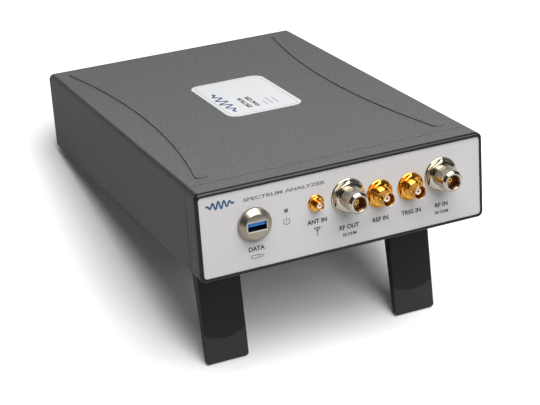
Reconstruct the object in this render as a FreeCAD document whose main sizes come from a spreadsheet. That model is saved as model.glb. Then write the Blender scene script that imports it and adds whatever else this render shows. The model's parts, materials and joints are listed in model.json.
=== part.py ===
import FreeCAD, Part
import math
import os
import re

import Sketcher

# Bench spectrum analyzer: a flat steel-sleeved box that stands on two fold-out front legs and its rear feet.
# Every piece is drawn in the case's own frame (X centred, Y from the front face back, Z up from the underside)
# and the whole set is then tilted onto the floor by one placement.

SIZES = [
    # case
    ("case_width", 222.3, "case, left to right"),
    ("case_depth", 327.5, "case, bezel face to rear edge"),
    ("case_height", 65.0, "case, underside to top"),
    ("case_corner", 4.5, "radius of the case's four long edges"),
    ("cover_wall", 1.6, "sheet thickness of both covers"),
    ("cover_return", 12.0, "width of the top cover's turned-in lower lips"),
    ("cover_screw_inset", 8.0, "cover screw from the case side"),
    ("cover_screw_end", 50.0, "end cover screws from the bezel face and the rear edge"),
    ("sheet_gap", 0.2, "gap between sheet parts that slide together"),
    # bezel and front panel
    ("bezel_depth", 17.5, "bezel, front to seam"),
    ("bezel_nose", 2.0, "rounding of the bezel's front edge"),
    ("bezel_frame", 5.0, "bezel section seen from the front"),
    ("seam_gap", 0.8, "open seam between bezel and covers"),
    ("spigot_length", 6.5, "bezel spigot that the covers slide over"),
    ("panel_margin", 2.7, "bezel rim around the front panel"),
    ("panel_corner", 2.5, "front panel corner radius"),
    ("panel_recess", 0.6, "front panel set back from the rim"),
    ("panel_thickness", 2.4, "front panel plate"),
    # grip ribs and label on the top
    ("rib_start", 28.0, "rib front end from the bezel face"),
    ("rib_rear_inset", 11.5, "rib rear end from the rear edge"),
    ("rib_inset", 17.5, "rib centre line from the case side, at its ends"),
    ("rib_bulge", 15.0, "how far the rib bows inwards at its middle"),
    ("rib_width", 9.5, "rib width"),
    ("rib_rise", 1.0, "rib height above the cover"),
    ("rib_corner", 3.0, "rib end corner radius"),
    ("label_width", 62.0, "top label, left to right"),
    ("label_length", 88.0, "top label, front to back"),
    ("label_corner", 9.0, "top label corner radius"),
    ("label_place", 178.0, "top label centre from the bezel face"),
    ("label_offset", 3.5, "top label centre right of the middle"),
    ("label_film", 0.3, "top label thickness"),
    # front ports
    ("port_height", 40.0, "threaded ports' centre line above the underside"),
    ("bnc_height", 36.2, "bayonet ports' centre line above the underside"),
    ("port_pitch", 24.65, "spacing of the five coaxial ports"),
    ("port_middle", 27.3, "third coaxial port from the middle"),
    ("n_thread", 7.94, "large port, thread radius"),
    ("n_mouth", 6.5, "large port, mouth radius"),
    ("n_bore", 4.9, "large port, bore radius"),
    ("n_reach", 18.8, "large port, stand-out from the panel"),
    ("n_bevel", 1.8, "large port, length of the mouth's bevel"),
    ("n_seat", 10.0, "large port, bore depth"),
    ("n_flange", 10.5, "large port, rear flange radius"),
    ("n_tail", 6.0, "large port, tail radius"),
    ("n_insulator", 3.6, "large port, insulator radius"),
    ("n_insulator_front", 10.0, "large port, insulator from the mouth"),
    ("n_contact", 1.5, "large port, contact radius"),
    ("n_socket", 0.8, "large port, contact socket radius"),
    ("n_tip", 5.0, "large port, contact tip from the mouth"),
    ("n_nut", 21.0, "large port, nut across flats"),
    ("n_nut_rise", 3.8, "large port, nut height with its flange"),
    ("n_washer", 13.0, "large port, nut flange radius"),
    ("n_washer_rise", 1.2, "large port, nut flange thickness"),
    ("bnc_thread", 4.83, "bayonet port, barrel radius"),
    ("bnc_mouth", 4.6, "bayonet port, mouth radius"),
    ("bnc_bore", 4.05, "bayonet port, bore radius"),
    ("bnc_reach", 14.6, "bayonet port, stand-out from the panel"),
    ("bnc_bevel", 0.5, "bayonet port, length of the mouth's bevel"),
    ("bnc_seat", 9.0, "bayonet port, bore depth"),
    ("bnc_collar", 6.2, "bayonet port, threaded collar radius"),
    ("bnc_collar_rise", 3.0, "bayonet port, collar in front of the nut"),
    ("bnc_flange", 8.0, "bayonet port, rear flange radius"),
    ("bnc_tail", 4.0, "bayonet port, tail radius"),
    ("bnc_insulator", 2.4, "bayonet port, insulator radius"),
    ("bnc_insulator_front", 3.0, "bayonet port, insulator from the mouth"),
    ("bnc_contact", 1.0, "bayonet port, contact radius"),
    ("bnc_socket", 0.6, "bayonet port, contact socket radius"),
    ("bnc_tip", 2.8, "bayonet port, contact tip from the mouth"),
    ("bnc_nut", 17.0, "bayonet port, nut across flats"),
    ("bnc_nut_rise", 3.0, "bayonet port, nut height with its flange"),
    ("bnc_washer", 10.4, "bayonet port, nut flange radius"),
    ("bnc_washer_rise", 1.0, "bayonet port, nut flange thickness"),
    ("bnc_lug", 0.95, "bayonet port, lug radius"),
    ("bnc_lug_reach", 0.9, "bayonet port, lug above the barrel"),
    ("bnc_lug_back", 4.0, "bayonet port, lug from the mouth"),
    ("sma_thread", 3.175, "small port, thread radius"),
    ("sma_mouth", 2.9, "small port, mouth radius"),
    ("sma_bore", 2.3, "small port, bore radius"),
    ("sma_reach", 7.6, "small port, stand-out from the panel"),
    ("sma_bevel", 0.5, "small port, length of the mouth's bevel"),
    ("sma_seat", 5.0, "small port, bore depth"),
    ("sma_flange", 5.0, "small port, rear flange radius"),
    ("sma_tail", 2.6, "small port, tail radius"),
    ("sma_insulator", 2.0, "small port, insulator radius"),
    ("sma_insulator_front", 1.5, "small port, insulator from the mouth"),
    ("sma_contact", 0.65, "small port, contact radius"),
    ("sma_socket", 0.4, "small port, contact socket radius"),
    ("sma_tip", 1.2, "small port, contact tip from the mouth"),
    ("sma_nut", 10.0, "small port, nut across flats"),
    ("sma_nut_rise", 2.8, "small port, nut height with its flange"),
    ("sma_washer", 6.2, "small port, nut flange radius"),
    ("sma_washer_rise", 0.6, "small port, nut flange thickness"),
    ("port_flange_rise", 3.0, "rear flange thickness of every port"),
    ("port_tail", 20.0, "tail of every port behind the panel"),
    ("port_contact_tail", 2.0, "contact standing out of the tail"),
    ("contact_socket_depth", 6.0, "depth of every contact's socket"),
    ("usb_place", -69.0, "data port centre from the middle"),
    ("usb_height", 35.3, "data port centre above the underside"),
    ("usb_radius", 12.25, "data port ring, outer radius"),
    ("usb_face", 9.0, "data port ring, flat face radius"),
    ("usb_reach", 6.0, "data port ring, stand-out from the panel"),
    ("usb_bevel", 3.4, "data port ring, length of its sloped rim"),
    ("usb_neck", 10.8, "data port ring, neck radius through the panel"),
    ("usb_tail", 5.0, "data port ring behind the panel"),
    ("usb_slot_width", 15.3, "data port slot width"),
    ("usb_slot_height", 7.4, "data port slot height"),
    ("usb_shell_wall", 0.5, "data port steel shell wall"),
    ("usb_shell_recess", 0.5, "data port steel shell from the ring's face"),
    ("usb_depth", 14.0, "data port depth behind the bezel face"),
    ("usb_tongue_width", 12.4, "data port contact tongue width"),
    ("usb_tongue_height", 2.6, "data port contact tongue thickness"),
    ("usb_tongue_lift", 0.2, "data port contact tongue above the port's centre"),
    ("usb_tongue_recess", 1.5, "data port contact tongue from the ring's face"),
    ("usb_tongue_root", 4.0, "data port contact tongue's root block"),
    ("lens_place", -44.8, "power light from the middle"),
    ("lens_height", 39.6, "power light above the underside"),
    ("lens_radius", 1.6, "power light radius"),
    ("lens_rise", 0.3, "power light above the panel"),
    ("lens_bevel", 0.4, "power light's bevelled rim"),
    ("lens_shoulder", 0.8, "power light's shoulder behind the panel"),
    ("lens_tail", 4.0, "power light behind the panel"),
    ("port_clearance", 0.15, "hole around each port's neck"),
    ("thread_relief", 0.4, "depth of the plain neck that the nut and the panel sit on"),
    ("bore_fit", 0.02, "radial fit of insulators, contacts and press-fitted pins"),
    # legs
    ("leg_margin", 16.9, "leg's outer face from the case side"),
    ("leg_width", 33.0, "leg, left to right"),
    ("leg_hinge_back", 61.5, "leg hinge axis from the bezel face"),
    ("leg_hinge_drop", 5.2, "leg hinge axis under the case"),
    ("leg_root", 5.0, "leg knuckle radius"),
    ("leg_end", 2.3, "leg end radius"),
    ("leg_end_back", 51.3, "leg end centre from the bezel face"),
    ("leg_end_drop", 86.7, "leg end centre under the case"),
    ("leg_tip_length", 24.0, "rubber tip, end to its upper corners"),
    ("leg_tip_dip", 5.0, "how far the rubber tip's upper edge dips at its middle"),
    ("leg_tip_corner", 2.5, "rubber tip's cut lower corners"),
    ("hinge_pin", 2.0, "hinge pin radius"),
    ("hinge_running", 0.05, "running clearance on the hinge pin"),
    ("hinge_side", 1.0, "space between leg and ear, filled by a washer"),
    ("washer_play", 0.1, "free play each side of a washer"),
    ("washer_radius", 4.2, "friction washer radius"),
    ("ear_thickness", 4.0, "bracket ear thickness"),
    ("stop_depth", 10.0, "leg stop bar, front to back"),
    ("stop_play", 0.6, "stop bar clear of the knuckle"),
    ("bracket_drop", 9.4, "bracket height under the case"),
    # feet
    ("foot_radius", 8.0, "rubber foot radius"),
    ("foot_drop", 10.4, "rubber foot height"),
    ("foot_round", 1.0, "rubber foot edge rounding"),
    ("foot_side", 78.0, "foot centre from the middle"),
    ("front_foot_back", 34.0, "front foot centre from the bezel face"),
    ("rear_foot_inset", 24.0, "rear foot centre from the rear edge"),
    ("screw_radius", 1.5, "machine screw shank radius"),
    ("screw_clear", 0.1, "screw hole clearance"),
    ("screw_head", 2.8, "pan head radius"),
    ("screw_head_rise", 2.0, "pan head height"),
    ("screw_length", 11.4, "foot and bracket screw length"),
    ("screw_proud", 2.0, "screw end past the sheet that it holds"),
    ("head_clear", 0.6, "space around a sunk screw head"),
    ("foot_seat", 5.0, "rubber left above a foot screw's head"),
    ("bracket_seat", 4.0, "bracket left above its screw heads"),
    # chassis and boards
    ("tray_sheet", 1.6, "chassis tray sheet"),
    ("tray_flange", 12.0, "chassis tray flange height"),
    ("tray_side_gap", 1.0, "tray to cover wall"),
    ("tray_front_gap", 2.0, "tray behind the bezel's spigot"),
    ("rear_recess", 3.0, "rear panel set in from the rear edge"),
    ("rear_sheet", 1.6, "rear panel sheet"),
    ("rear_screw_inset", 12.0, "rear panel screws from the case's underside and top"),
    ("ear_column", 14.0, "rear mounting column width"),
    ("column_gap", 2.0, "rear mounting columns short of the top cover"),
    ("standoff_height", 6.0, "board above the tray"),
    ("standoff_radius", 2.8, "standoff radius"),
    ("board_thickness", 1.6, "circuit board thickness"),
    ("board_width", 204.0, "main board width"),
    ("board_start", 40.0, "main board front edge"),
    ("supply_width", 110.0, "power supply board width"),
    ("supply_length", 78.0, "power supply board length"),
    ("supply_gap", 10.0, "main board to power supply board"),
    ("supply_rear_space", 24.9, "power supply board to the rear panel"),
    ("hole_inset", 5.0, "board hole from board edges"),
    ("can_wall", 1.0, "screening can wall"),
    ("can_rise", 18.0, "screening can height"),
    ("can_rear_space", 56.0, "screening cans from the board's rear edge"),
    ("can_width", 44.0, "screening can width"),
    ("can_start", 58.0, "screening can front face"),
    ("can_edge", 3.4, "receiver screening can from the board's side"),
    ("jumper_entry", 3.0, "jumper end below the can's lid"),
    ("jumper_radius", 1.8, "semi-rigid jumper radius"),
    ("jumper_bend", 9.0, "semi-rigid jumper bend radius"),
    ("sink_width", 60.0, "heat sink width"),
    ("sink_length", 70.0, "heat sink length"),
    ("sink_base", 4.0, "heat sink base"),
    ("sink_fin", 1.6, "heat sink fin thickness"),
    ("sink_fin_rise", 20.0, "heat sink fin height"),
    ("sink_fins", 9, "heat sink fins"),
    ("sink_place", -66.0, "heat sink centre from the middle"),
    ("chip_gap", 4.0, "memory chips from the heat sink"),
    ("chip_inset", 5.0, "memory chips from the board's rear edge"),
    ("chip_width", 12.0, "memory chip width"),
    ("chip_length", 7.0, "memory chip length"),
    ("chip_pitch", 9.0, "memory chip spacing"),
    ("chip_rise", 1.2, "memory chip height"),
    ("chip_count", 4, "memory chips"),
    ("core_width", 32.0, "power supply transformer width"),
    ("core_length", 30.0, "power supply transformer length"),
    ("core_rise", 24.0, "power supply transformer height"),
    ("core_inset", 16.0, "power supply transformer from the board's right edge"),
    ("core_front", 22.0, "power supply transformer from the board's front edge"),
    ("spreader_sheet", 3.0, "power supply heat spreader thickness"),
    ("spreader_length", 32.0, "power supply heat spreader length"),
    ("spreader_rise", 26.0, "power supply heat spreader height"),
    ("spreader_inset", 14.0, "power supply heat spreader from the board's left edge"),
    ("spreader_front", 12.0, "power supply heat spreader from the board's front edge"),
    ("reservoir_radius", 8.0, "reservoir capacitor radius"),
    ("reservoir_rise", 26.0, "reservoir capacitor height"),
    ("reservoir_inset", 34.0, "reservoir capacitors from the board's left edge"),
    ("reservoir_front", 18.0, "first reservoir capacitor from the board's front edge"),
    ("reservoir_pitch", 20.0, "reservoir capacitor spacing"),
    # rear
    ("fan_size", 50.0, "fan frame side"),
    ("fan_depth", 15.0, "fan frame depth"),
    ("fan_corner", 3.0, "fan frame corner radius"),
    ("fan_wall", 1.2, "fan frame beside the duct"),
    ("fan_tip_gap", 0.8, "rotor tip clearance"),
    ("fan_hub", 12.0, "fan hub radius"),
    ("fan_blades", 7, "fan blades"),
    ("fan_blade_thickness", 1.4, "fan blade thickness"),
    ("fan_blade_pitch", 38.0, "fan blade angle"),
    ("fan_hole_inset", 5.0, "fan mounting hole from the frame's sides"),
    ("fan_strut", 3.0, "motor mount strut width"),
    ("fan_play", 0.8, "rotor clear of the motor mount"),
    ("fan_place", 62.0, "fan axis from the middle"),
    ("fan_height", 34.0, "fan axis above the underside"),
    ("fan_shaft", 1.5, "fan shaft radius"),
    ("fan_mount_depth", 3.0, "motor mount thickness"),
    ("grille_bar", 1.8, "rear grille bar height"),
    ("grille_slots", 7, "rear grille slots"),
    ("grille_margin", 2.0, "rear grille inside the fan duct"),
    ("inlet_place", -62.0, "mains inlet from the middle"),
    ("inlet_height", 36.0, "mains inlet above the underside"),
    ("inlet_width", 27.0, "mains inlet body width"),
    ("inlet_tall", 19.8, "mains inlet body height"),
    ("inlet_deep", 26.0, "mains inlet body behind the panel"),
    ("inlet_flange", 11.5, "mains inlet flange overlap at each side"),
    ("inlet_flange_rise", 2.4, "mains inlet flange thickness"),
    ("inlet_lip", 2.0, "mains inlet flange overlap above and below"),
    ("inlet_corner", 3.0, "mains inlet flange corner radius"),
    ("inlet_well_cut", 5.0, "mains inlet well's cut upper corners"),
    ("inlet_pin_width", 2.0, "mains inlet pin width"),
    ("inlet_pin_height", 4.0, "mains inlet pin height"),
    ("inlet_pin_spread", 7.0, "mains inlet outer pins from the middle"),
    ("inlet_pin_rise", 2.0, "mains inlet pins above and below the middle"),
    ("inlet_pin_tail", 5.0, "mains inlet pins behind the body"),
    ("inlet_pin_recess", 2.0, "mains inlet pins short of the panel"),
    ("inlet_well_width", 24.0, "mains inlet socket well width"),
    ("inlet_well_height", 16.0, "mains inlet socket well height"),
    ("inlet_well_depth", 17.0, "mains inlet socket well depth"),
    ("vent_width", 3.0, "underside vent slot width"),
    ("vent_length", 40.0, "underside vent slot length"),
    ("vent_pitch", 7.0, "underside vent slot spacing"),
    ("vent_slots", 9, "underside vent slots in a row"),
]

doc = FreeCAD.newDocument("SpectrumAnalyzer")
sheet = doc.addObject("Spreadsheet::Sheet", "Sizes")
for row, (alias, value, note) in enumerate(SIZES, start=1):
    sheet.set(f"A{row}", note)
    sheet.set(f"B{row}", str(value))
    sheet.setAlias(f"B{row}", alias)
doc.recompute()

ALIASES = {alias for alias, _, _ in SIZES}
PIECES = []


def cells(text):
    """Write a size expression with its sheet name in front of every alias."""
    return re.sub(r"[a-z]\w*", lambda word: "Sizes." + word[0] if word[0] in ALIASES else word[0], str(text))


def value(text):
    """The number that a size expression stands for now."""
    result = sheet.evalExpression(cells(text))
    return float(getattr(result, "Value", result))


# ---------------------------------------------------------------- places shared by several pieces
HALF = "case_width / 2"
PANEL_FRONT = "panel_recess"
PANEL_BACK = "(panel_recess + panel_thickness)"
SEAM_BACK = "(bezel_depth + seam_gap)"
SPIGOT_INSET = "(cover_wall + sheet_gap)"
SPIGOT_BACK = "(bezel_depth + spigot_length)"
LEDGE_TOP = "(2 * cover_wall)"
TRAY_FRONT = "(bezel_depth + spigot_length + tray_front_gap)"
TRAY_TOP = "(2 * cover_wall + tray_sheet)"
TRAY_HALF = "(case_width / 2 - cover_wall - tray_side_gap)"
REAR_FACE = "(case_depth - rear_recess)"
REAR_INNER = "(case_depth - rear_recess - rear_sheet)"
TRAY_BACK = REAR_INNER
BOARD_UNDER = "(2 * cover_wall + tray_sheet + standoff_height)"
BOARD_TOP = "(2 * cover_wall + tray_sheet + standoff_height + board_thickness)"
SUPPLY_FRONT = f"({REAR_INNER} - supply_rear_space - supply_length)"
BOARD_BACK = f"({SUPPLY_FRONT} - supply_gap)"
BOARD_LENGTH = f"({BOARD_BACK} - board_start)"
SUPPLY_LEFT = "(-board_width / 2)"
LEG_CENTRE = "(case_width / 2 - leg_margin - leg_width / 2)"
REAR_FOOT_BACK = "(case_depth - rear_foot_inset)"
EAR_INNER = "(leg_width / 2 + hinge_side)"
STOP_BACK = "(leg_hinge_back - leg_root - stop_play)"
STOP_FRONT = "(leg_hinge_back - leg_root - stop_play - stop_depth)"
COVER_SCREWS = [
    (f"{sign} * (case_width / 2 - cover_screw_inset)", y)
    for sign in (-1, 1) for y in ("cover_screw_end", "case_depth / 2", "case_depth - cover_screw_end")
]
REAR_SCREW_X = "(case_width / 2 - cover_wall - tray_side_gap - ear_column / 2)"
REAR_SCREW_ZS = ["rear_screw_inset", "case_height - rear_screw_inset"]
FOOT_PLACES = {
    "front_left": ("-foot_side", "front_foot_back"),
    "front_right": ("foot_side", "front_foot_back"),
    "rear_left": ("-foot_side", REAR_FOOT_BACK),
    "rear_right": ("foot_side", REAR_FOOT_BACK),
}
SIDES = {"left": "-1", "right": "1"}
FAN_BORE = "(fan_size / 2 - fan_wall)"
FAN_REACH = "(fan_size / 2 - fan_hole_inset)"
GRILLE_PITCH = f"(2 * ({FAN_BORE} - grille_margin) / (grille_slots + 1))"
RIB_STOP = "(case_depth - rib_rear_inset)"
LEG_THROUGH = "(12 * leg_root)"
CAN_BACK = f"({BOARD_BACK} - can_rear_space)"
JUMPER_DROP = f"((2 * can_start + {CAN_BACK}) / 3)"
BRACKET_SCREWS = [
    (f"{sign} * {LEG_CENTRE} + {step} * leg_width / 3", f"({STOP_BACK} + {STOP_FRONT}) / 2")
    for sign in SIDES.values() for step in (-1, 1)
]
UNDER_SCREWS = list(FOOT_PLACES.values()) + BRACKET_SCREWS


# ---------------------------------------------------------------- modelling helpers
def piece(label):
    """A new body that becomes one node."""
    body = doc.addObject("PartDesign::Body", label)
    body.Label = label
    body.AllowCompound = True
    PIECES.append(body)
    return body


def origin_plane(body, role):
    return next(item for item in body.Origin.OriginFeatures if item.Role == role)


def new_sketch(body, role, offset, up="0"):
    """Sketch on an origin plane: XY looks up, XZ looks to the front, YZ looks right.

    offset moves it along +Z, +Y or +X; up lifts the sketch's own origin along its second axis.
    """
    sketch = body.newObject("Sketcher::SketchObject", body.Label + "_sketch")
    sketch.AttachmentSupport = (origin_plane(body, role + "_Plane"), [""])
    sketch.MapMode = "FlatFace"
    away = "-" if role == "XZ" else ""
    sketch.setExpression("AttachmentOffset.Base.z", cells(f"{away}({offset})"))
    sketch.setExpression("AttachmentOffset.Base.y", cells(up))
    return sketch


def hold(sketch, kind, *where, to):
    """Add a constraint whose size is bound to the sheet."""
    index = sketch.addConstraint(Sketcher.Constraint(kind, *where, value(to)))
    sketch.setExpression(f"Constraints[{index}]", cells(to))


def rounded_rectangle(sketch, left, low, right, high, radius):
    x0, z0, x1, z1, r = (value(item) for item in (left, low, right, high, radius))
    first = sketch.GeometryCount
    corners = [(x0 + r, z0 + r, 180), (x1 - r, z0 + r, 270), (x1 - r, z1 - r, 0), (x0 + r, z1 - r, 90)]
    runs = [((x0 + r, z0), (x1 - r, z0)), ((x1, z0 + r), (x1, z1 - r)),
            ((x1 - r, z1), (x0 + r, z1)), ((x0, z1 - r), (x0, z0 + r))]
    for start, end in runs:
        sketch.addGeometry(Part.LineSegment(FreeCAD.Vector(*start), FreeCAD.Vector(*end)), False)
    for x, z, angle in corners:
        circle = Part.Circle(FreeCAD.Vector(x, z, 0), FreeCAD.Vector(0, 0, 1), r)
        arc = Part.ArcOfCircle(circle, math.radians(angle), math.radians(angle + 90))
        sketch.addGeometry(arc, False)
    for index in range(4):
        run, arc, following = first + index, first + 4 + (index + 1) % 4, first + (index + 1) % 4
        sketch.addConstraint(Sketcher.Constraint("Tangent", run, 2, arc, 1))
        sketch.addConstraint(Sketcher.Constraint("Tangent", arc, 2, following, 1))
    for index, kind in enumerate(("Horizontal", "Vertical", "Horizontal", "Vertical")):
        sketch.addConstraint(Sketcher.Constraint(kind, first + index))
    for index in (5, 6, 7):
        sketch.addConstraint(Sketcher.Constraint("Equal", first + 4, first + index))
    hold(sketch, "Radius", first + 4, to=radius)
    hold(sketch, "DistanceY", first, 1, to=low)
    hold(sketch, "DistanceX", first + 1, 1, to=right)
    hold(sketch, "DistanceY", first + 2, 1, to=high)
    hold(sketch, "DistanceX", first + 3, 1, to=left)


def polygon(sketch, points):
    """Closed outline of straight runs; each corner's place is bound to the sheet."""
    first = sketch.GeometryCount
    spots = [FreeCAD.Vector(value(x), value(z), 0) for x, z in points]
    count = len(spots)
    for index, spot in enumerate(spots):
        sketch.addGeometry(Part.LineSegment(spot, spots[(index + 1) % count]), False)
    for index, (x, z) in enumerate(points):
        following = first + (index + 1) % count
        sketch.addConstraint(Sketcher.Constraint("Coincident", first + index, 2, following, 1))
        hold(sketch, "DistanceX", first + index, 1, to=x)
        hold(sketch, "DistanceY", first + index, 1, to=z)


def rectangle(sketch, left, low, right, high):
    polygon(sketch, [(left, low), (right, low), (right, high), (left, high)])


def circles(sketch, centres, radius):
    for x, z in centres:
        circle = Part.Circle(FreeCAD.Vector(value(x), value(z), 0), FreeCAD.Vector(0, 0, 1), value(radius))
        index = sketch.addGeometry(circle, False)
        hold(sketch, "DistanceX", index, 3, to=x)
        hold(sketch, "DistanceY", index, 3, to=z)
        hold(sketch, "Radius", index, to=radius)


def pad(body, sketch, length, backwards=False):
    feature = body.newObject("PartDesign::Pad", body.Label + "_pad")
    feature.Profile = sketch
    feature.setExpression("Length", cells(length))
    feature.Reversed = backwards
    body.Tip = feature
    doc.recompute()
    return feature


def pocket(body, sketch, length, backwards=False):
    """Cut a pocket and make sure that it removes material."""
    before = body.Shape.Volume
    feature = body.newObject("PartDesign::Pocket", body.Label + "_pocket")
    feature.Profile = sketch
    feature.setExpression("Length", cells(length))
    feature.Reversed = backwards
    body.Tip = feature
    doc.recompute()
    if body.Shape.Volume > before - 1e-6:
        raise RuntimeError(f"{body.Label}: a pocket cuts nothing")
    return feature


def block(body, left, front, low, right, back, high):
    """Add a box given by its six sides."""
    sketch = new_sketch(body, "XY", low)
    rectangle(sketch, left, front, right, back)
    pad(body, sketch, f"({high}) - ({low})")


def well(body, left, front, low, right, back, high):
    """Cut a box given by its six sides."""
    sketch = new_sketch(body, "XY", high)
    rectangle(sketch, left, front, right, back)
    pocket(body, sketch, f"({high}) - ({low})")


def posts(body, centres, radius, low, high):
    """Add upright cylinders."""
    sketch = new_sketch(body, "XY", low)
    circles(sketch, centres, radius)
    pad(body, sketch, f"({high}) - ({low})")


def drill(body, centres, radius, low, high):
    """Cut upright round holes."""
    sketch = new_sketch(body, "XY", high)
    circles(sketch, centres, radius)
    pocket(body, sketch, f"({high}) - ({low})")


def posts_back(body, centres, radius, front, back):
    """Add cylinders that run front to back."""
    sketch = new_sketch(body, "XZ", front)
    circles(sketch, centres, radius)
    pad(body, sketch, f"({back}) - ({front})", backwards=True)


def drill_back(body, centres, radius, front, back):
    """Cut round holes that run front to back."""
    sketch = new_sketch(body, "XZ", front)
    circles(sketch, centres, radius)
    pocket(body, sketch, f"({back}) - ({front})", backwards=False)


def turned(label, x, z, profile):
    """A turned piece on a front-to-back axis; the profile holds (distance from the bezel face, radius)."""
    body = piece(label)
    sketch = new_sketch(body, "YZ", x, up=z)
    polygon(sketch, profile)
    feature = body.newObject("PartDesign::Revolution", label + "_turn")
    feature.Profile = sketch
    feature.ReferenceAxis = (sketch, ["H_Axis"])
    feature.Angle = 360
    body.Tip = feature
    doc.recompute()
    return body


def round_edges(body, radius, test):
    """Round the edges of the body's tip whose boxes pass the test."""
    tip = body.Tip
    chosen = []
    for number, edge in enumerate(tip.Shape.Edges, start=1):
        if test(edge.BoundBox):
            chosen.append(f"Edge{number}")
    if not chosen:
        raise RuntimeError(f"{body.Label}: no edge to round")
    feature = body.newObject("PartDesign::Fillet", body.Label + "_round")
    feature.Base = (tip, chosen)
    feature.setExpression("Radius", cells(radius))
    body.Tip = feature
    doc.recompute()


def case_section(body, front, back, inset, radius):
    """Add a rounded case section between two distances from the bezel face."""
    sketch = new_sketch(body, "XZ", front)
    case_outline(sketch, inset, radius)
    pad(body, sketch, f"({back}) - ({front})", backwards=True)


def case_hollow(body, front, back, inset, radius):
    """Cut a rounded case section between two distances from the bezel face."""
    sketch = new_sketch(body, "XZ", front)
    case_outline(sketch, inset, radius)
    pocket(body, sketch, f"({back}) - ({front})")


def case_outline(sketch, inset, radius):
    rounded_rectangle(sketch, f"-{HALF} + {inset}", inset, f"{HALF} - ({inset})",
                      f"case_height - ({inset})", radius)


# ---------------------------------------------------------------- case
def front_bezel():
    body = piece("front_bezel")
    case_section(body, "0", "bezel_depth", "0", "case_corner")
    round_edges(body, "bezel_nose", lambda box: box.YMax < 1e-6)
    case_section(body, "bezel_depth", SPIGOT_BACK, SPIGOT_INSET, f"case_corner - {SPIGOT_INSET}")
    case_hollow(body, "0", PANEL_BACK, "(panel_margin - sheet_gap / 2)", "panel_corner")
    case_hollow(body, "0", SPIGOT_BACK, "bezel_frame", "panel_corner")


def front_panel():
    body = piece("front_panel")
    case_section(body, PANEL_FRONT, PANEL_BACK, "panel_margin", "panel_corner - sheet_gap / 2")
    for kind, x, z in PORTS.values():
        drill_back(body, [(x, z)], f"{neck_radius(kind)} + port_clearance", PANEL_FRONT, PANEL_BACK)
    drill_back(body, [("usb_place", "usb_height")], "usb_neck + port_clearance", PANEL_FRONT, PANEL_BACK)
    drill_back(body, [("lens_place", "lens_height")], "lens_radius + bore_fit", PANEL_FRONT, PANEL_BACK)


def rib_outline(sketch, side):
    """One bowed grip rib: two arcs of equal bulge closed by straight ends."""
    sign = 1 if side == "right" else -1
    radius = f"((({RIB_STOP} - rib_start) / 2) ^ 2 + rib_bulge ^ 2) / (2 * rib_bulge)"
    ends = []
    for edge in (-1, 1):
        x = f"{sign} * ({HALF} - rib_inset + {edge} * rib_width / 2)"
        middle = f"{sign} * ({HALF} - rib_inset - rib_bulge + {edge} * rib_width / 2)"
        arc = Part.Arc(FreeCAD.Vector(value(x), value("rib_start"), 0),
                       FreeCAD.Vector(value(middle), value(f"(rib_start + {RIB_STOP}) / 2"), 0),
                       FreeCAD.Vector(value(x), value(RIB_STOP), 0))
        index = sketch.addGeometry(arc, False)
        start_is_front = sketch.getPoint(index, 1).y < sketch.getPoint(index, 2).y
        front, back = (1, 2) if start_is_front else (2, 1)
        hold(sketch, "DistanceX", index, front, to=x)
        hold(sketch, "DistanceY", index, front, to="rib_start")
        hold(sketch, "DistanceX", index, back, to=x)
        hold(sketch, "DistanceY", index, back, to=RIB_STOP)
        hold(sketch, "Radius", index, to=radius)
        ends.append((index, front, back))
    (one, one_front, one_back), (two, two_front, two_back) = ends
    for point_one, point_two in ((one_front, two_front), (one_back, two_back)):
        line = Part.LineSegment(sketch.getPoint(one, point_one), sketch.getPoint(two, point_two))
        index = sketch.addGeometry(line, False)
        sketch.addConstraint(Sketcher.Constraint("Coincident", index, 1, one, point_one))
        sketch.addConstraint(Sketcher.Constraint("Coincident", index, 2, two, point_two))


def top_cover():
    body = piece("top_cover")
    case_section(body, SEAM_BACK, "case_depth", "0", "case_corner")
    case_hollow(body, SEAM_BACK, "case_depth", "cover_wall", "case_corner - cover_wall")
    window = f"{HALF} - cover_return"
    well(body, f"-({window})", SEAM_BACK, "0", window, "case_depth", "cover_wall")
    ribs = new_sketch(body, "XY", "case_height - cover_wall / 2")
    for side in SIDES:
        rib_outline(ribs, side)
    pad(body, ribs, "rib_rise + cover_wall / 2")
    top = value("case_height")
    start, stop = value("rib_start"), value(RIB_STOP)
    round_edges(body, "rib_corner", lambda box: box.ZMin > top - 0.01 and box.ZLength > 0.5
                and box.XLength < 0.01 and (abs(box.YMin - start) < 0.01 or abs(box.YMin - stop) < 0.01))
    drill(body, COVER_SCREWS, "screw_radius + screw_clear", "0", "cover_wall")


def bottom_cover():
    body = piece("bottom_cover")
    window = f"{HALF} - cover_return - sheet_gap"
    block(body, f"-({window})", SEAM_BACK, "0", window, "case_depth", "cover_wall")
    ledge = f"{HALF} - case_corner"
    block(body, f"-({ledge})", f"{SPIGOT_BACK} + sheet_gap", "cover_wall", ledge, "case_depth", LEDGE_TOP)
    sketch = new_sketch(body, "XY", LEDGE_TOP)
    for sign in SIDES.values():
        for slot in range(int(value("vent_slots"))):
            middle = f"case_depth / 2 + ({slot} - (vent_slots - 1) / 2) * vent_pitch"
            left = f"{sign} * case_width / 5 - vent_length / 2"
            rectangle(sketch, left, f"{middle} - vent_width / 2",
                      f"{left} + vent_length", f"{middle} + vent_width / 2")
    pocket(body, sketch, LEDGE_TOP)
    drill(body, COVER_SCREWS + UNDER_SCREWS, "screw_radius + screw_clear", "0", LEDGE_TOP)


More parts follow.
